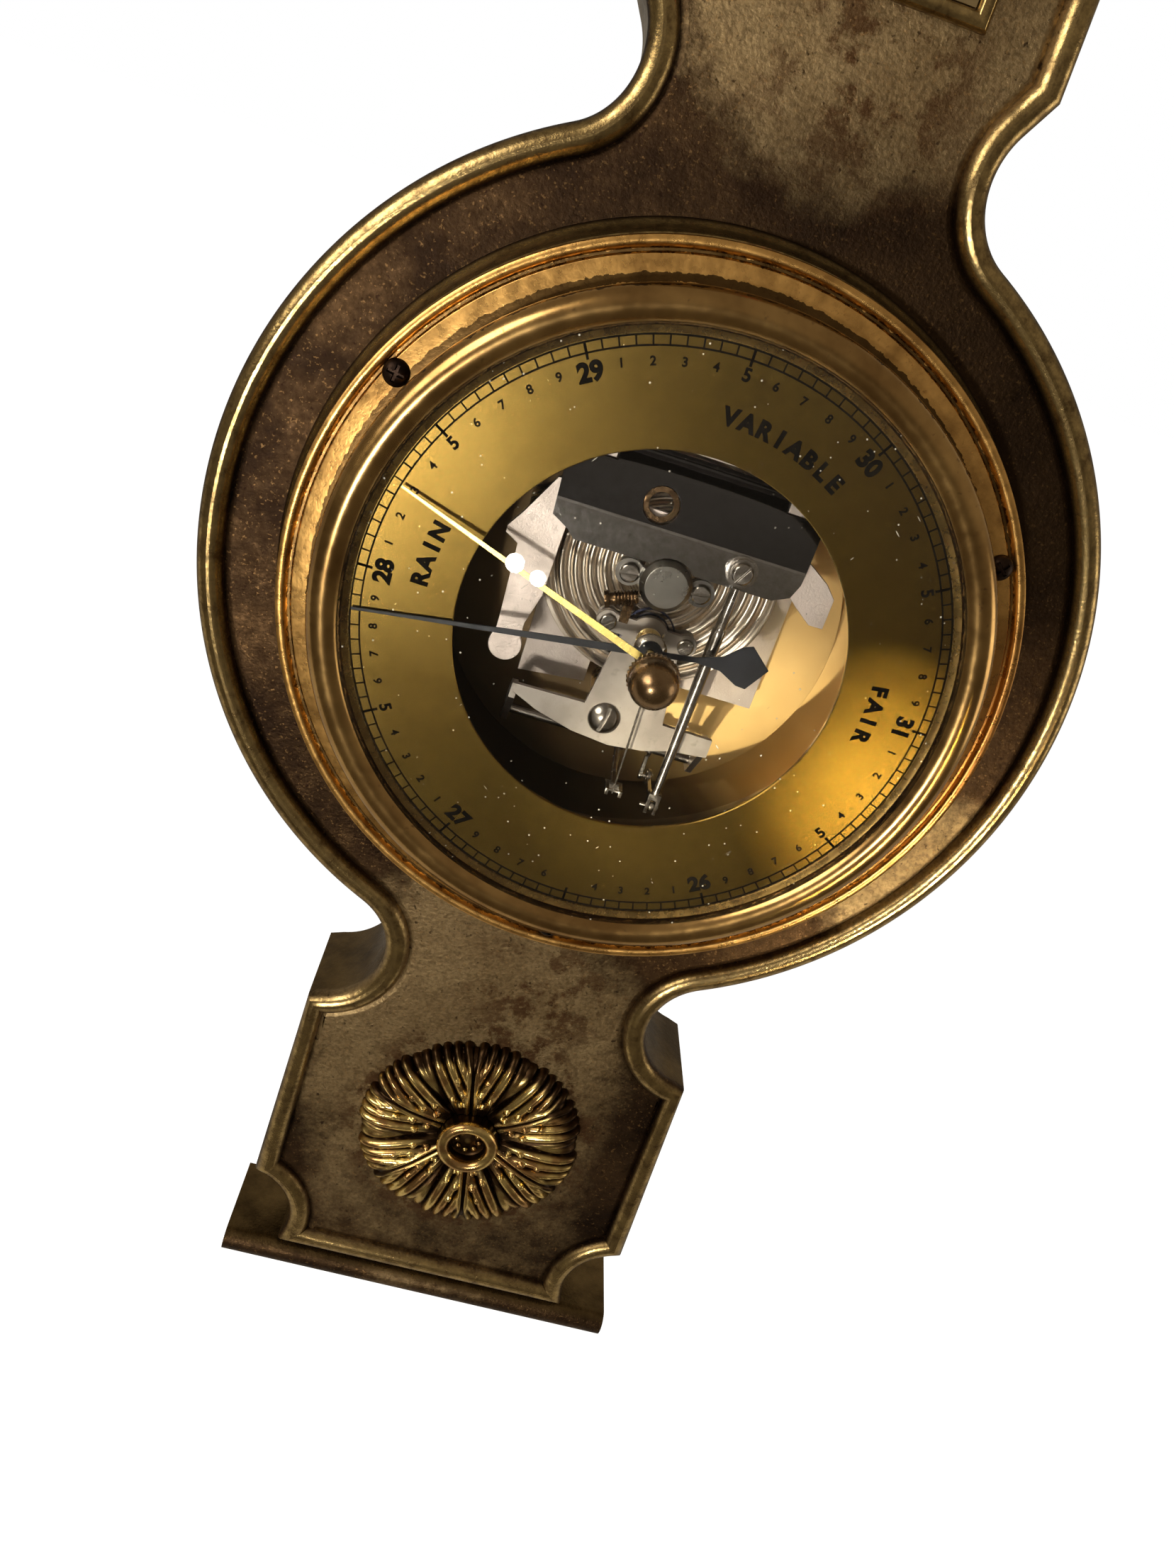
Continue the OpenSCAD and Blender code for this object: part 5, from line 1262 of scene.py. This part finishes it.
def finger_round(x, y):
    """1 on the back of a finger and 0 in the groove between two fingers."""
    branch = y - x / BRANCH_LEAN
    crown = np.zeros_like(branch)
    for low, high in zip(BRANCHES, BRANCHES[1:]):
        d = (2 * branch - low - high) / (high - low)
        crown = np.maximum(crown, np.clip(1 - d * d, 0, 1))
    return crown


def rosette_relief(t, r, a):
    """Height over the plate in mm, and how much of a ridge it is, at each point."""
    x, y = leaf_place(r, a)
    crown = finger_round(x, y) ** 0.7
    grown = smooth(x, 0.7, 2.0) * smooth(t, 0.02, 0.25)
    ribs = np.exp(-(((x - 0.78) / 0.42) ** 2)) * (1 - smooth(t, 0.60, 0.88))
    split = np.exp(-((x / 0.28) ** 2)) * (1 - smooth(t, 0.7, 0.92))
    berries = np.max([dome(np.hypot(x - bx, y - by) / size) for bx, by, size in BERRIES], axis=0)
    rise = 0.50 + 0.50 * np.sin(np.pi / 2 * np.clip(t / 0.62, 0, 1))
    curl = dome(np.clip(t - 0.66, 0, 1) / 0.347)
    seam = smooth(x / np.maximum(y, 1), 0.42, 0.577)
    body = 0.5 + 3.85 * rise * curl - 0.9 * seam
    relief = 1.4 * (crown - 1) * grown + 0.5 * ribs - 0.5 * split + 0.8 * berries
    lit = crown**2 * (0.35 + 0.65 * smooth(t, 0.15, 0.6)) * grown
    ridge = lit + 0.85 * ribs + 0.9 * berries - 0.4 * split - 0.5 * seam
    # Painted shadow: the rim's ridges are darkened on the side towards the dial, and a little all round where
    # the rim curls under.
    shadow = smooth(np.cos(np.radians(a - PAINTED_SHADOW_SIDE)), -0.35, 0.65)
    ridge = ridge * (1 - 0.5 * smooth(t, 0.9, 0.99)) * (1 - 0.88 * shadow * smooth(t, 0.72, 0.9))
    return np.clip(body + relief, 0.4, 4.6), np.clip(ridge, 0, 1)


def rosette_rim_r(a):
    """The scalloped rim, one scallop for each finger."""
    x, y = leaf_place(np.full_like(a, RIM_LINE), a)
    seam = smooth(x / y, 0.36, 0.577)
    return ROSETTE_R * (0.940 + 0.058 * np.sqrt(finger_round(x, y)) - 0.035 * seam)


def write_ridge(mesh, values):
    layer = mesh.attributes.new("ridge", "FLOAT", "POINT")
    layer.data.foreach_set("value", np.asarray(values, dtype=np.float32))


def make_rosette():
    around, across = 756, 58
    a, t = np.meshgrid(np.arange(around) * 360.0 / around, np.linspace(0, 1, across))
    inner = HUB_R + 0.2
    r = inner + (rosette_rim_r(a) - inner) * t
    height, ridge = rosette_relief(t, r, a)
    x, y = r * np.cos(np.radians(a)), r * np.sin(np.radians(a)) + ROSETTE_Y
    verts = list(zip(x.ravel(), y.ravel(), (PLATE_H + height).ravel()))
    for edge in (-1, 0):
        verts += [(x[edge, i], y[edge, i], PLATE_H) for i in range(around)]
    rows = [range(k * around, (k + 1) * around) for k in range(across + 2)]
    faces = []
    for lo, hi in zip(rows, rows[1:] + rows[:1]):
        for i in range(around):
            j = (i + 1) % around
            faces.append((lo[i], hi[i], hi[j], lo[j]))
    obj = dial_mesh("rosette_cast", verts, faces)
    write_ridge(obj.data, list(ridge.ravel()) + [0.0] * (2 * around))
    return finish_piece(obj, leaf_brass, ["rosette"], edge=60)


print("the rosette has", len(make_rosette().data.polygons), "faces")

# %% [markdown]
# The hub is a separate piece on a stud: a round ring about a sunk floor with eight
# beads. The beads are a ring of copies of one small ball.

# %% The rosette's hub
HUB_FLOOR = PLATE_H + 3.0
HUB_RING_R = 5.5
STUD_R, STUD_END = 1.8, PLATE_H - 6.0
BEAD_R, BEAD_RING_R = 0.8, 2.6


def make_hub():
    section = [(0.0, STUD_END), (STUD_R, STUD_END), (STUD_R, PLATE_H + 0.1)]
    section += [(HUB_R, PLATE_H + 0.1), (HUB_R, PLATE_H + 4.9)]
    section += arc((HUB_RING_R, PLATE_H + 5.2), HUB_R - HUB_RING_R, 0, 180, 15) + [(4.1, PLATE_H + 4.9)]
    section += shifted(0, HUB_FLOOR, (4.0, 0.4), (3.7, 0.08), (2.9, 0), (1.2, 0.12), (0.0, 0.5))
    turned = dial_mesh("hub_turned", *lathe(section, 96, centre=(0.0, ROSETTE_Y), ring=False))
    bead = small_mesh("bead", *lathe(arc((0.0, 0.0), BEAD_R, -90, 90, 8), 14, ring=False))
    beads = ring_of("hub_beads", bead, 8, BEAD_RING_R, 0, 45, (0, ROSETTE_Y, HUB_FLOOR), leaf_brass)
    hub = join("rosette_hub", [turned, beads])
    points = np.array([v.co for v in hub.data.vertices]) / MM
    h = -points[:, 1] - DIAL_DEPTH
    out = np.hypot(points[:, 0], points[:, 2] + HANG_DROP - ROSETTE_Y)
    rubbed_bead = 0.45 * (out < 3.6) * smooth(h, HUB_FLOOR + 0.2, HUB_FLOOR + 0.6)
    write_ridge(hub.data, smooth(h, PLATE_H + 4.6, PLATE_H + 6.2) + rubbed_bead)
    return finish_piece(hub, leaf_brass, ["rosette_button"])


print("the hub has", len(make_hub().data.polygons), "faces")

# %% [markdown]
# ## The plinth moulding
#
# Under the lower panel sits a moulding of drawn brass: a neck behind the panel and a
# half round lip. Each is one section drawn along a straight line and cut off square at
# both ends.

# %% The plinth moulding
PLINTH_X = 47.6
PANEL_FOOT = PANEL_BOTTOM - BEAD_HALF
LEDGE_Y = PANEL_FOOT - 3.4
FOOT_Y = PANEL_FOOT - 10.0
LIP_H = PLATE_H - 3.6
NECK_TOP = LIP_H - 5.0
NECK_IN_X = FOOT_C[0] - FOOT_R + 2


def drawn(name, profile, half):
    """A section of (y, h) points drawn along x to half on both sides, with flat ends."""
    n = len(profile)
    verts = [(x, y, h) for x in (-half, half) for y, h in profile]
    faces = [(i, (i + 1) % n, n + (i + 1) % n, n + i) for i in range(n)]
    faces += [tuple(range(n)), tuple(range(n, 2 * n))]
    return outward(dial_mesh(name, verts, faces))


lip_section = [(FOOT_Y, RIM_H), (LEDGE_Y, RIM_H)]
lip_section += arc(((LEDGE_Y + FOOT_Y) / 2, LIP_H), (LEDGE_Y - FOOT_Y) / 2, 0, 180, 20)
neck_section = [(PANEL_FOOT, RIM_H), (PANEL_FOOT, NECK_TOP + 0.4), (PANEL_FOOT - 0.25, NECK_TOP + 0.05)]
neck_section += [(LEDGE_Y + 0.3, NECK_TOP), (LEDGE_Y - 0.2, NECK_TOP), (LEDGE_Y - 0.2, RIM_H)]
drawn_bars = [drawn("lip", lip_section, PLINTH_X), drawn("neck", neck_section, NECK_IN_X)]
finish_piece(join("plinth_moulding", drawn_bars), aged_brass, ["base_moulding"], edge=40)
print("drew the plinth moulding")

# %% [markdown]
# ## The thermometer
#
# The photograph ends just above the lower edge of the thermometer's frame, so the
# rest is built as such instruments are: a frame of half round bars with mitred
# corners, a brass scale plate, a glass tube with a round bulb, red spirit in it and
# two brass clips that hold it. The scale is in degrees Celsius, and its long and short
# ticks are rows of copies.

# %% The thermometer's frame
FRAME_X = 19.4
FRAME_Y = (103.6, 204.6)
BAR = 2.6
BAR_RISE = 2.2
BAR_FOOT = 0.9


def make_frame():
    crest = arc((-BAR / 2, PLATE_H + BAR_FOOT), BAR / 2, 180, 0, 15, BAR_RISE - BAR_FOOT)
    section = [(-BAR, PLATE_H)] + crest + [(0.0, PLATE_H)]
    verts, faces = [], []
    for d, h in section:
        for side, end in ((-1, 0), (1, 0), (1, 1), (-1, 1)):
            verts.append((side * (FRAME_X + d), FRAME_Y[end] + (d if end else -d), h))
    for k in range(len(section)):
        q = (k + 1) % len(section)
        for i in range(4):
            j = (i + 1) % 4
            faces.append((k * 4 + i, k * 4 + j, q * 4 + j, q * 4 + i))
    bars = outward(dial_mesh("frame_bars", verts, faces))
    return finish_piece(bars, aged_brass, ["thermometer_frame"], edge=40)


print("the thermometer's frame has", len(make_frame().data.polygons), "faces")

# %% The tube and its spirit
PLATE_TOP = PLATE_H + 1.0
TUBE_H = -11.7
TUBE_R, BORE_R = 2.6, 0.9
BULB_R = 3.8
BULB_Y = FRAME_Y[0] + BAR + 0.2 + 8
TUBE_LEN = (FRAME_Y[1] - FRAME_Y[0]) - 2 * BAR - 0.4 - 18
BULB_WALL = 0.8
FILM = 0.05
SPIRIT_SHARE = 0.45


def tube(name, bulb, bore, length, steps, inside=False):
    """A bulb with a tube along y, from the bulb's end to the closed top."""
    join_at = math.degrees(math.asin(min(1.0, bore / bulb)))
    section = arc((0.0, 0.0), bulb, -90, 90 - join_at, 16) + arc((0.0, length - bore), bore, 0, 90, 8)
    verts, faces = lathe(section, steps, ring=False, inside=inside)
    return dial_mesh(name, [(x, h + BULB_Y, -y + TUBE_H) for x, y, h in verts], faces)


def make_thermometer_tube():
    outer = tube("outer", BULB_R, TUBE_R, TUBE_LEN, 48)
    bore = tube("bore", BULB_R - BULB_WALL, BORE_R, TUBE_LEN - 4, 32, inside=True)
    finish_piece(join("glass_tube", [outer, bore]), clear_glass, ["thermometer_tube"], edge=60)
    red = (BULB_R - BULB_WALL - FILM, BORE_R - FILM, TUBE_LEN * SPIRIT_SHARE)
    finish_piece(tube("spirit_column", *red, 32), red_spirit, ["thermometer_liquid"], edge=60)


make_thermometer_tube()
print("the tube and its bulb are", round(TUBE_LEN + BULB_R, 1), "mm long")

# %% The thermometer's scale
DEGREES = 60
TICK_FROM = 4.4
TICK_HALF = 0.09
NUMBER_X = 12.4


def make_thermometer_scale():
    parts = []
    low, high = BULB_Y + 12, BULB_Y + TUBE_LEN - 8
    for side in (-1, 1):
        for length, every in ((2.2, 1), (3.6, 5), (4.6, 10)):
            ends = sorted((side * TICK_FROM, side * (TICK_FROM + length)))
            tick = box_mesh("tick", *ends, -TICK_HALF, TICK_HALF, 0.0, PRINT_H)
            ends = (0, low, PLATE_TOP), (0, high, PLATE_TOP)
            parts.append(row_of("ticks", tick, DEGREES // every + 1, *ends, black_ink))
    for degrees in range(-10, DEGREES - 9, 10):
        y = low + (high - low) * (degrees + 10) / DEGREES
        for side in (-1, 1):
            parts.append(letter(str(abs(degrees)), 3.4, side * NUMBER_X, y, 0, 0.05, h=PLATE_TOP))
    return finish_piece(join("thermometer_scale", parts), black_ink)


make_thermometer_scale()
print("the thermometer is made")

# %% [markdown]
# ## The knob, its bush and its washer
#
# A small turned knob goes through the glass and carries the brass marker hand. Its
# collar is milled so that fingers can grip it: the milling is part of the turned
# section, a wave of 36 grooves taken from the radius of the collar's rows.

# %% The knob, its bush and its washer
COLLAR_LOW, COLLAR_HIGH = 13.2, 14.9
COLLAR_R = 4.3
GROOVES = 36
GROOVE_DEPTH = 0.26


def milling(r, h, degrees):
    if r > COLLAR_R and COLLAR_LOW < h < COLLAR_HIGH:
        return -GROOVE_DEPTH * abs(math.sin(math.radians(GROOVES / 2 * degrees))) ** 1.5
    return 0.0


knob_section = [(0.0, 6.55), (1.1, 6.55), (1.1, 10.8), (2.1, 10.8), (2.3, 11.0), (2.3, 12.9), (2.6, 13.18)]
knob_section += shifted(0, COLLAR_LOW, (4.1, 0), (4.34, 0.12), (4.45, 0.3))
knob_section += shifted(0, COLLAR_HIGH, (4.45, -0.3), (4.34, -0.12), (4.24, 0), (4.1, 0.12), (4.06, 0.3))
knob_section += arc((0.0, KNOB_H), KNOB_R, 0, 90, 10)
bush_section = [(1.15, 8.2), (1.55, 8.2), (1.55, 9.8), (2.85, 9.8), (3.0, 9.9), (3.0, 10.18)]
bush_section += [(2.88, 10.3), (1.2, 10.3), (1.15, 10.25)]
washer_section = [(1.15, 10.32), (2.6, 10.32), (2.7, 10.4), (2.7, 10.62)]
washer_section += [(2.62, 10.7), (1.2, 10.7), (1.15, 10.65)]
turned_piece(
    "knob_turned", knob_section, 288, copper_knob, "set_knob", "set", edge=40, ring=False, waves=milling
)
turned_piece("bush_turned", bush_section, 64, turned_brass, "glass_bush")
turned_piece("washer_turned", washer_section, 64, polished_steel, "friction_washer")
print("turned the knob, the bush and the washer")

# %% [markdown]
# ## Drum and capsule
#
# The capsule is the heart of an aneroid: a flat box of thin metal with the air taken
# out, whose ridged lid sinks when the air outside gets heavier. The ridges are rings
# pressed into the lid. They are part of the turned section.

# %% Drum and capsule
ADJUSTER_Y = 30
HOLE_R = 1.7
CAPSULE = (-0.6, 10.8)
CAPSULE_MID, LID, FLOOR = -16.3, -13.4, -19.6
RIDGE_IN, RIDGE_OUT, RIDGE_STEP, RIDGE_HIGH = 5.2, 20.8, 2.6, 0.45


def make_drum():
    shoulder = SEAT_TOP - 1.2
    section = [(0.0, DRUM_FLOOR)]
    section += shifted(DRUM_R, DRUM_FLOOR, (-3.2, 0), (-1.4, 0.5), (-0.4, 1.5), (0, 3.1))
    section += [(DRUM_R, shoulder), (DRUM_R + 2.2, shoulder), (DRUM_R + 2.2, SEAT_TOP), (DRUM_R, SEAT_TOP)]
    section += [(DRUM_R, -DIAL_T), (DRUM_R - DRUM_T, -DIAL_T)]
    section += shifted(DRUM_R - DRUM_T, DRUM_FLOOR, (0, 3.4), (-0.4, 2.0), (-1.2, 1.2), (-2.4, 1.0))
    drum = dial_mesh("drum_spun", *lathe(section + [(0.0, DRUM_FLOOR + 1.0)], 144, ring=False))
    rod = [(0.0, -3.0), (HOLE_R, -3.0), (HOLE_R, 3.0), (0.0, 3.0)]
    drill = small_mesh("drill", *lathe(rod, 32, ring=False))
    drill.data.transform(Matrix.Translation(at(0, ADJUSTER_Y, DRUM_FLOOR)))
    return finish_piece(cut(drum, drill), clean_lacquer, ["drum"])


def ridges(start, stop, base, high):
    """A wavy line of rings from one radius to another."""
    radii = [start + (stop - start) * i / 42 for i in range(43)]
    return [(r, base + high * math.cos(2 * math.pi * (r - RIDGE_IN) / RIDGE_STEP)) for r in radii]


RIM = ((21.2, -0.7), (21.9, -0.6), (22.0, -0.4), (22.0, 0.4), (21.9, 0.6), (21.2, 0.7))
capsule_section = shifted(0, CAPSULE_MID, *RIM) + ridges(RIDGE_OUT, RIDGE_IN, LID, RIDGE_HIGH)
capsule_section += [(5.2, -11.0), (4.95, -10.6), (2.75, -10.6), (2.55, -10.8), (2.55, -20.0), (5.2, -20.0)]
capsule_section += ridges(RIDGE_IN, RIDGE_OUT, FLOOR, -RIDGE_HIGH)
make_drum()
turned_piece("capsule_pressed", capsule_section, 144, nickel, "capsule", edge=50, centre=CAPSULE)
print("made the drum and the capsule")

# %% [markdown]
# ## Pieces kept from the CAD model
#
# The plates, bridges, levers and screws of the movement are already right in the CAD
# model, but their edges are perfectly sharp. A real plate is filed or tumbled, and the
# thin bright line along its edge is what shows that it is metal. This cell copies each
# of these meshes, joins its loose triangles, rounds the edges by about a tenth of a
# millimetre and gives it its finish. The heads of the plate's screws are filed nearly
# flush, as the photograph shows a bare plate there.

# %% Soften the movement's pieces
SWELLING = ("main_rod", "arbor", "hand_boss")
WIDE_ROUND = 0.4
PLATE_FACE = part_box("front_plate")[0].y / MM
HEAD_LEFT = 0.06


def softened(node, material, width, body="case", slot=None):
    """A copy of a CAD node with its edges rounded, in place of the node."""

    def clean(work):
        bmesh.ops.remove_doubles(work, verts=work.verts, dist=2e-6)
        flat = math.radians(1.0)
        bmesh.ops.dissolve_limit(work, angle_limit=flat, verts=work.verts, edges=work.edges)

    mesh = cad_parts[node].data.copy()
    mesh.materials.clear()
    reworked(mesh, clean)
    obj = show(bpy.data.objects.new(node + "_filed", mesh))
    mesh.polygons.foreach_set("use_smooth", [True] * len(mesh.polygons))
    if node == "main_spring":
        mesh.set_sharp_from_angle(angle=math.radians(6))
    step = obj.modifiers.new("edges", "BEVEL")
    step.width = width * MM
    step.segments = 4 if width > WIDE_ROUND else 2
    step.limit_method = "ANGLE"
    step.angle_limit = math.radians(38)
    if node not in SWELLING:
        even = obj.modifiers.new("flat faces", "WEIGHTED_NORMAL")
        even.weight = 100
    rounded = plain_mesh(obj)
    obj.modifiers.clear()
    obj.data = rounded
    if node == "plate_screws":
        above = (-60, 60, -320, -200, HEAD_LEFT - PLATE_FACE, 20 - PLATE_FACE)
        obj = cut(obj, box_mesh("above", *above))
    return finish_piece(obj, material, [node], body, 50 if node in SWELLING else None)


# Each piece with its finish and the width of its rounding in mm, by body.
FILED = {
    "case": [
        ("spring_bridge", frame_steel, 0.12), ("front_plate", plate_steel, 0.1),
        ("arbor_cock", bridge_steel, 0.06), ("arbor_bridge", bridge_steel, 0.08),
        ("base_pillars", turned_brass, 0.1), ("bridge_posts", turned_brass, 0.08),
        ("plate_pillars", turned_brass, 0.06), ("bridge_pillar", turned_brass, 0.06),
        ("hairspring_stud", dark_bronze, 0.03), ("plate_screws", plate_steel, 0.03, "polished_steel"),
        ("bridge_screw", polished_steel, 0.05), ("cross_screws", polished_steel, 0.05),
        ("base_disc", clean_lacquer, 0.12), ("tube_clips", gold_lacquer, 0.06),
        ("clip_screws", tab_steel, 0.04), ("thermometer_plate", scale_plate, 0.06),
        ("rosette_nut", leaf_brass, 0.1), ("hanger_plate", tab_steel, 0.12),
        ("hanger_rivets", tab_steel, 0.06), ("wall_pads", black_rubber, 0.15),
        ("back_cover", cover_paint, 0.1), ("cover_posts", turned_brass, 0.06),
        ("cover_screws", tab_steel, 0.05),
    ],
    "hand": [
        ("arbor", turned_brass, 0.03), ("hand_boss", polished_steel, 0.05),
        ("pressure_hand", black_hand, 0.04),
    ],
    "set": [("set_hand", bright_brass, 0.04)],
    "lever": [
        ("main_spring", spring_steel, 0.12), ("spring_eyelet", dark_bronze, 0.08),
        ("main_rod", polished_steel, 0.05), ("rod_screw", polished_steel, 0.08),
        ("link", polished_steel, 0.04),
    ],
    "cap": [
        ("capsule_post", polished_steel, 0.06), ("capsule_cap", dull_steel, 0.42),
        ("cap_screws", polished_steel, 0.06),
    ],
    "rocker": [("rocking_shaft", polished_steel, 0.06), ("chain_fork", polished_steel, 0.05)],
    "adjuster": [("adjusting_screw", turned_brass, 0.05)],
}
for body, rows in FILED.items():
    for node, material, width, *slot in rows:
        softened(node, material, width, body, *slot)
print("filed", sum(len(rows) for rows in FILED.values()), "pieces")

# %% [markdown]
# ## Hairspring and chain
#
# The hairspring keeps the fine chain tight. It is a flat strip wound in a spiral, so a
# spiral curve with a rectangular section makes it. The chain is a row of small round
# links.

# %% The hairspring
SPRING_SOCKETS = {"Turns": "Float", "Inner": "Float", "Outer": "Float", "Strip": "Float", "Height": "Float"}
SPRING_SOCKETS.update({"Place": "Vector", "Swing": "Float", "Finish": "Material"})


def spring_tree():
    n, given = shape_tree("flat_spiral", SPRING_SOCKETS)
    spiral = {"Resolution": 48, "Rotations": given["Turns"], "Start Radius": given["Inner"]}
    spiral.update({"End Radius": given["Outer"], "Height": 0.0})
    wound = n.add("GeometryNodeCurveSpiral", spiral)[0]
    strip = {"Width": given["Strip"], "Height": given["Height"]}
    strip = n.add("GeometryNodeCurvePrimitiveQuadrilateral", strip)[0]
    band = {"Curve": wound, "Profile Curve": strip, "Fill Caps": True}
    band = n.add("GeometryNodeCurveToMesh", band)[0]
    lean = n.add("ShaderNodeCombineXYZ", {"X": math.pi / 2, "Y": given["Swing"]})[0]
    stood = {"Geometry": band, "Translation": given["Place"], "Rotation": lean}
    stood = n.add("GeometryNodeTransform", stood)[0]
    return end_tree(n, stood, given["Finish"])


HAIRSPRING = {
    "Turns": 4.0, "Inner": 1.55 * MM, "Outer": 5.4 * MM, "Strip": 0.28 * MM, "Height": 0.8 * MM,
    "Place": at(0, 0, -10.3), "Swing": math.radians(-150), "Finish": blued_steel,
}
hairspring = outward(run_tree(spring_tree(), "hairspring_wound", HAIRSPRING))
finish_piece(hairspring, blued_steel, ["hairspring"], edge=30)
print("the hairspring measures", [round(v / MM, 2) for v in hairspring.dimensions], "mm")

# %% The chain
LINK_PITCH = 1.15
LINK_HALF = 0.62
CHAIN_H = -3.0
CHAIN_FOOT_X, CHAIN_TOP_X = 2.56, 1.84
CHAIN_END = 0.7


def make_chain():
    low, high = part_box("chain")
    section = [(0.10, -LINK_HALF), (0.20, -0.5), (0.22, 0.0), (0.20, 0.5), (0.10, LINK_HALF)]
    section += [(0.0, LINK_HALF), (0.0, -LINK_HALF)]
    verts, faces = lathe(section, 10, ring=False)
    link = small_mesh("link", [(x, h, -y) for x, y, h in verts], faces)
    y1 = low.z / MM + HANG_DROP + CHAIN_END
    y2 = high.z / MM + HANG_DROP - CHAIN_END
    count = int((y2 - y1) / LINK_PITCH) + 1
    ends = (CHAIN_FOOT_X, y1, CHAIN_H), (CHAIN_TOP_X, y2, CHAIN_H)
    chain = row_of("chain_links", link, count, *ends, polished_steel)
    print("the chain has", count, "links")
    return finish_piece(chain, polished_steel, ["chain"], "chain_run")


make_chain()
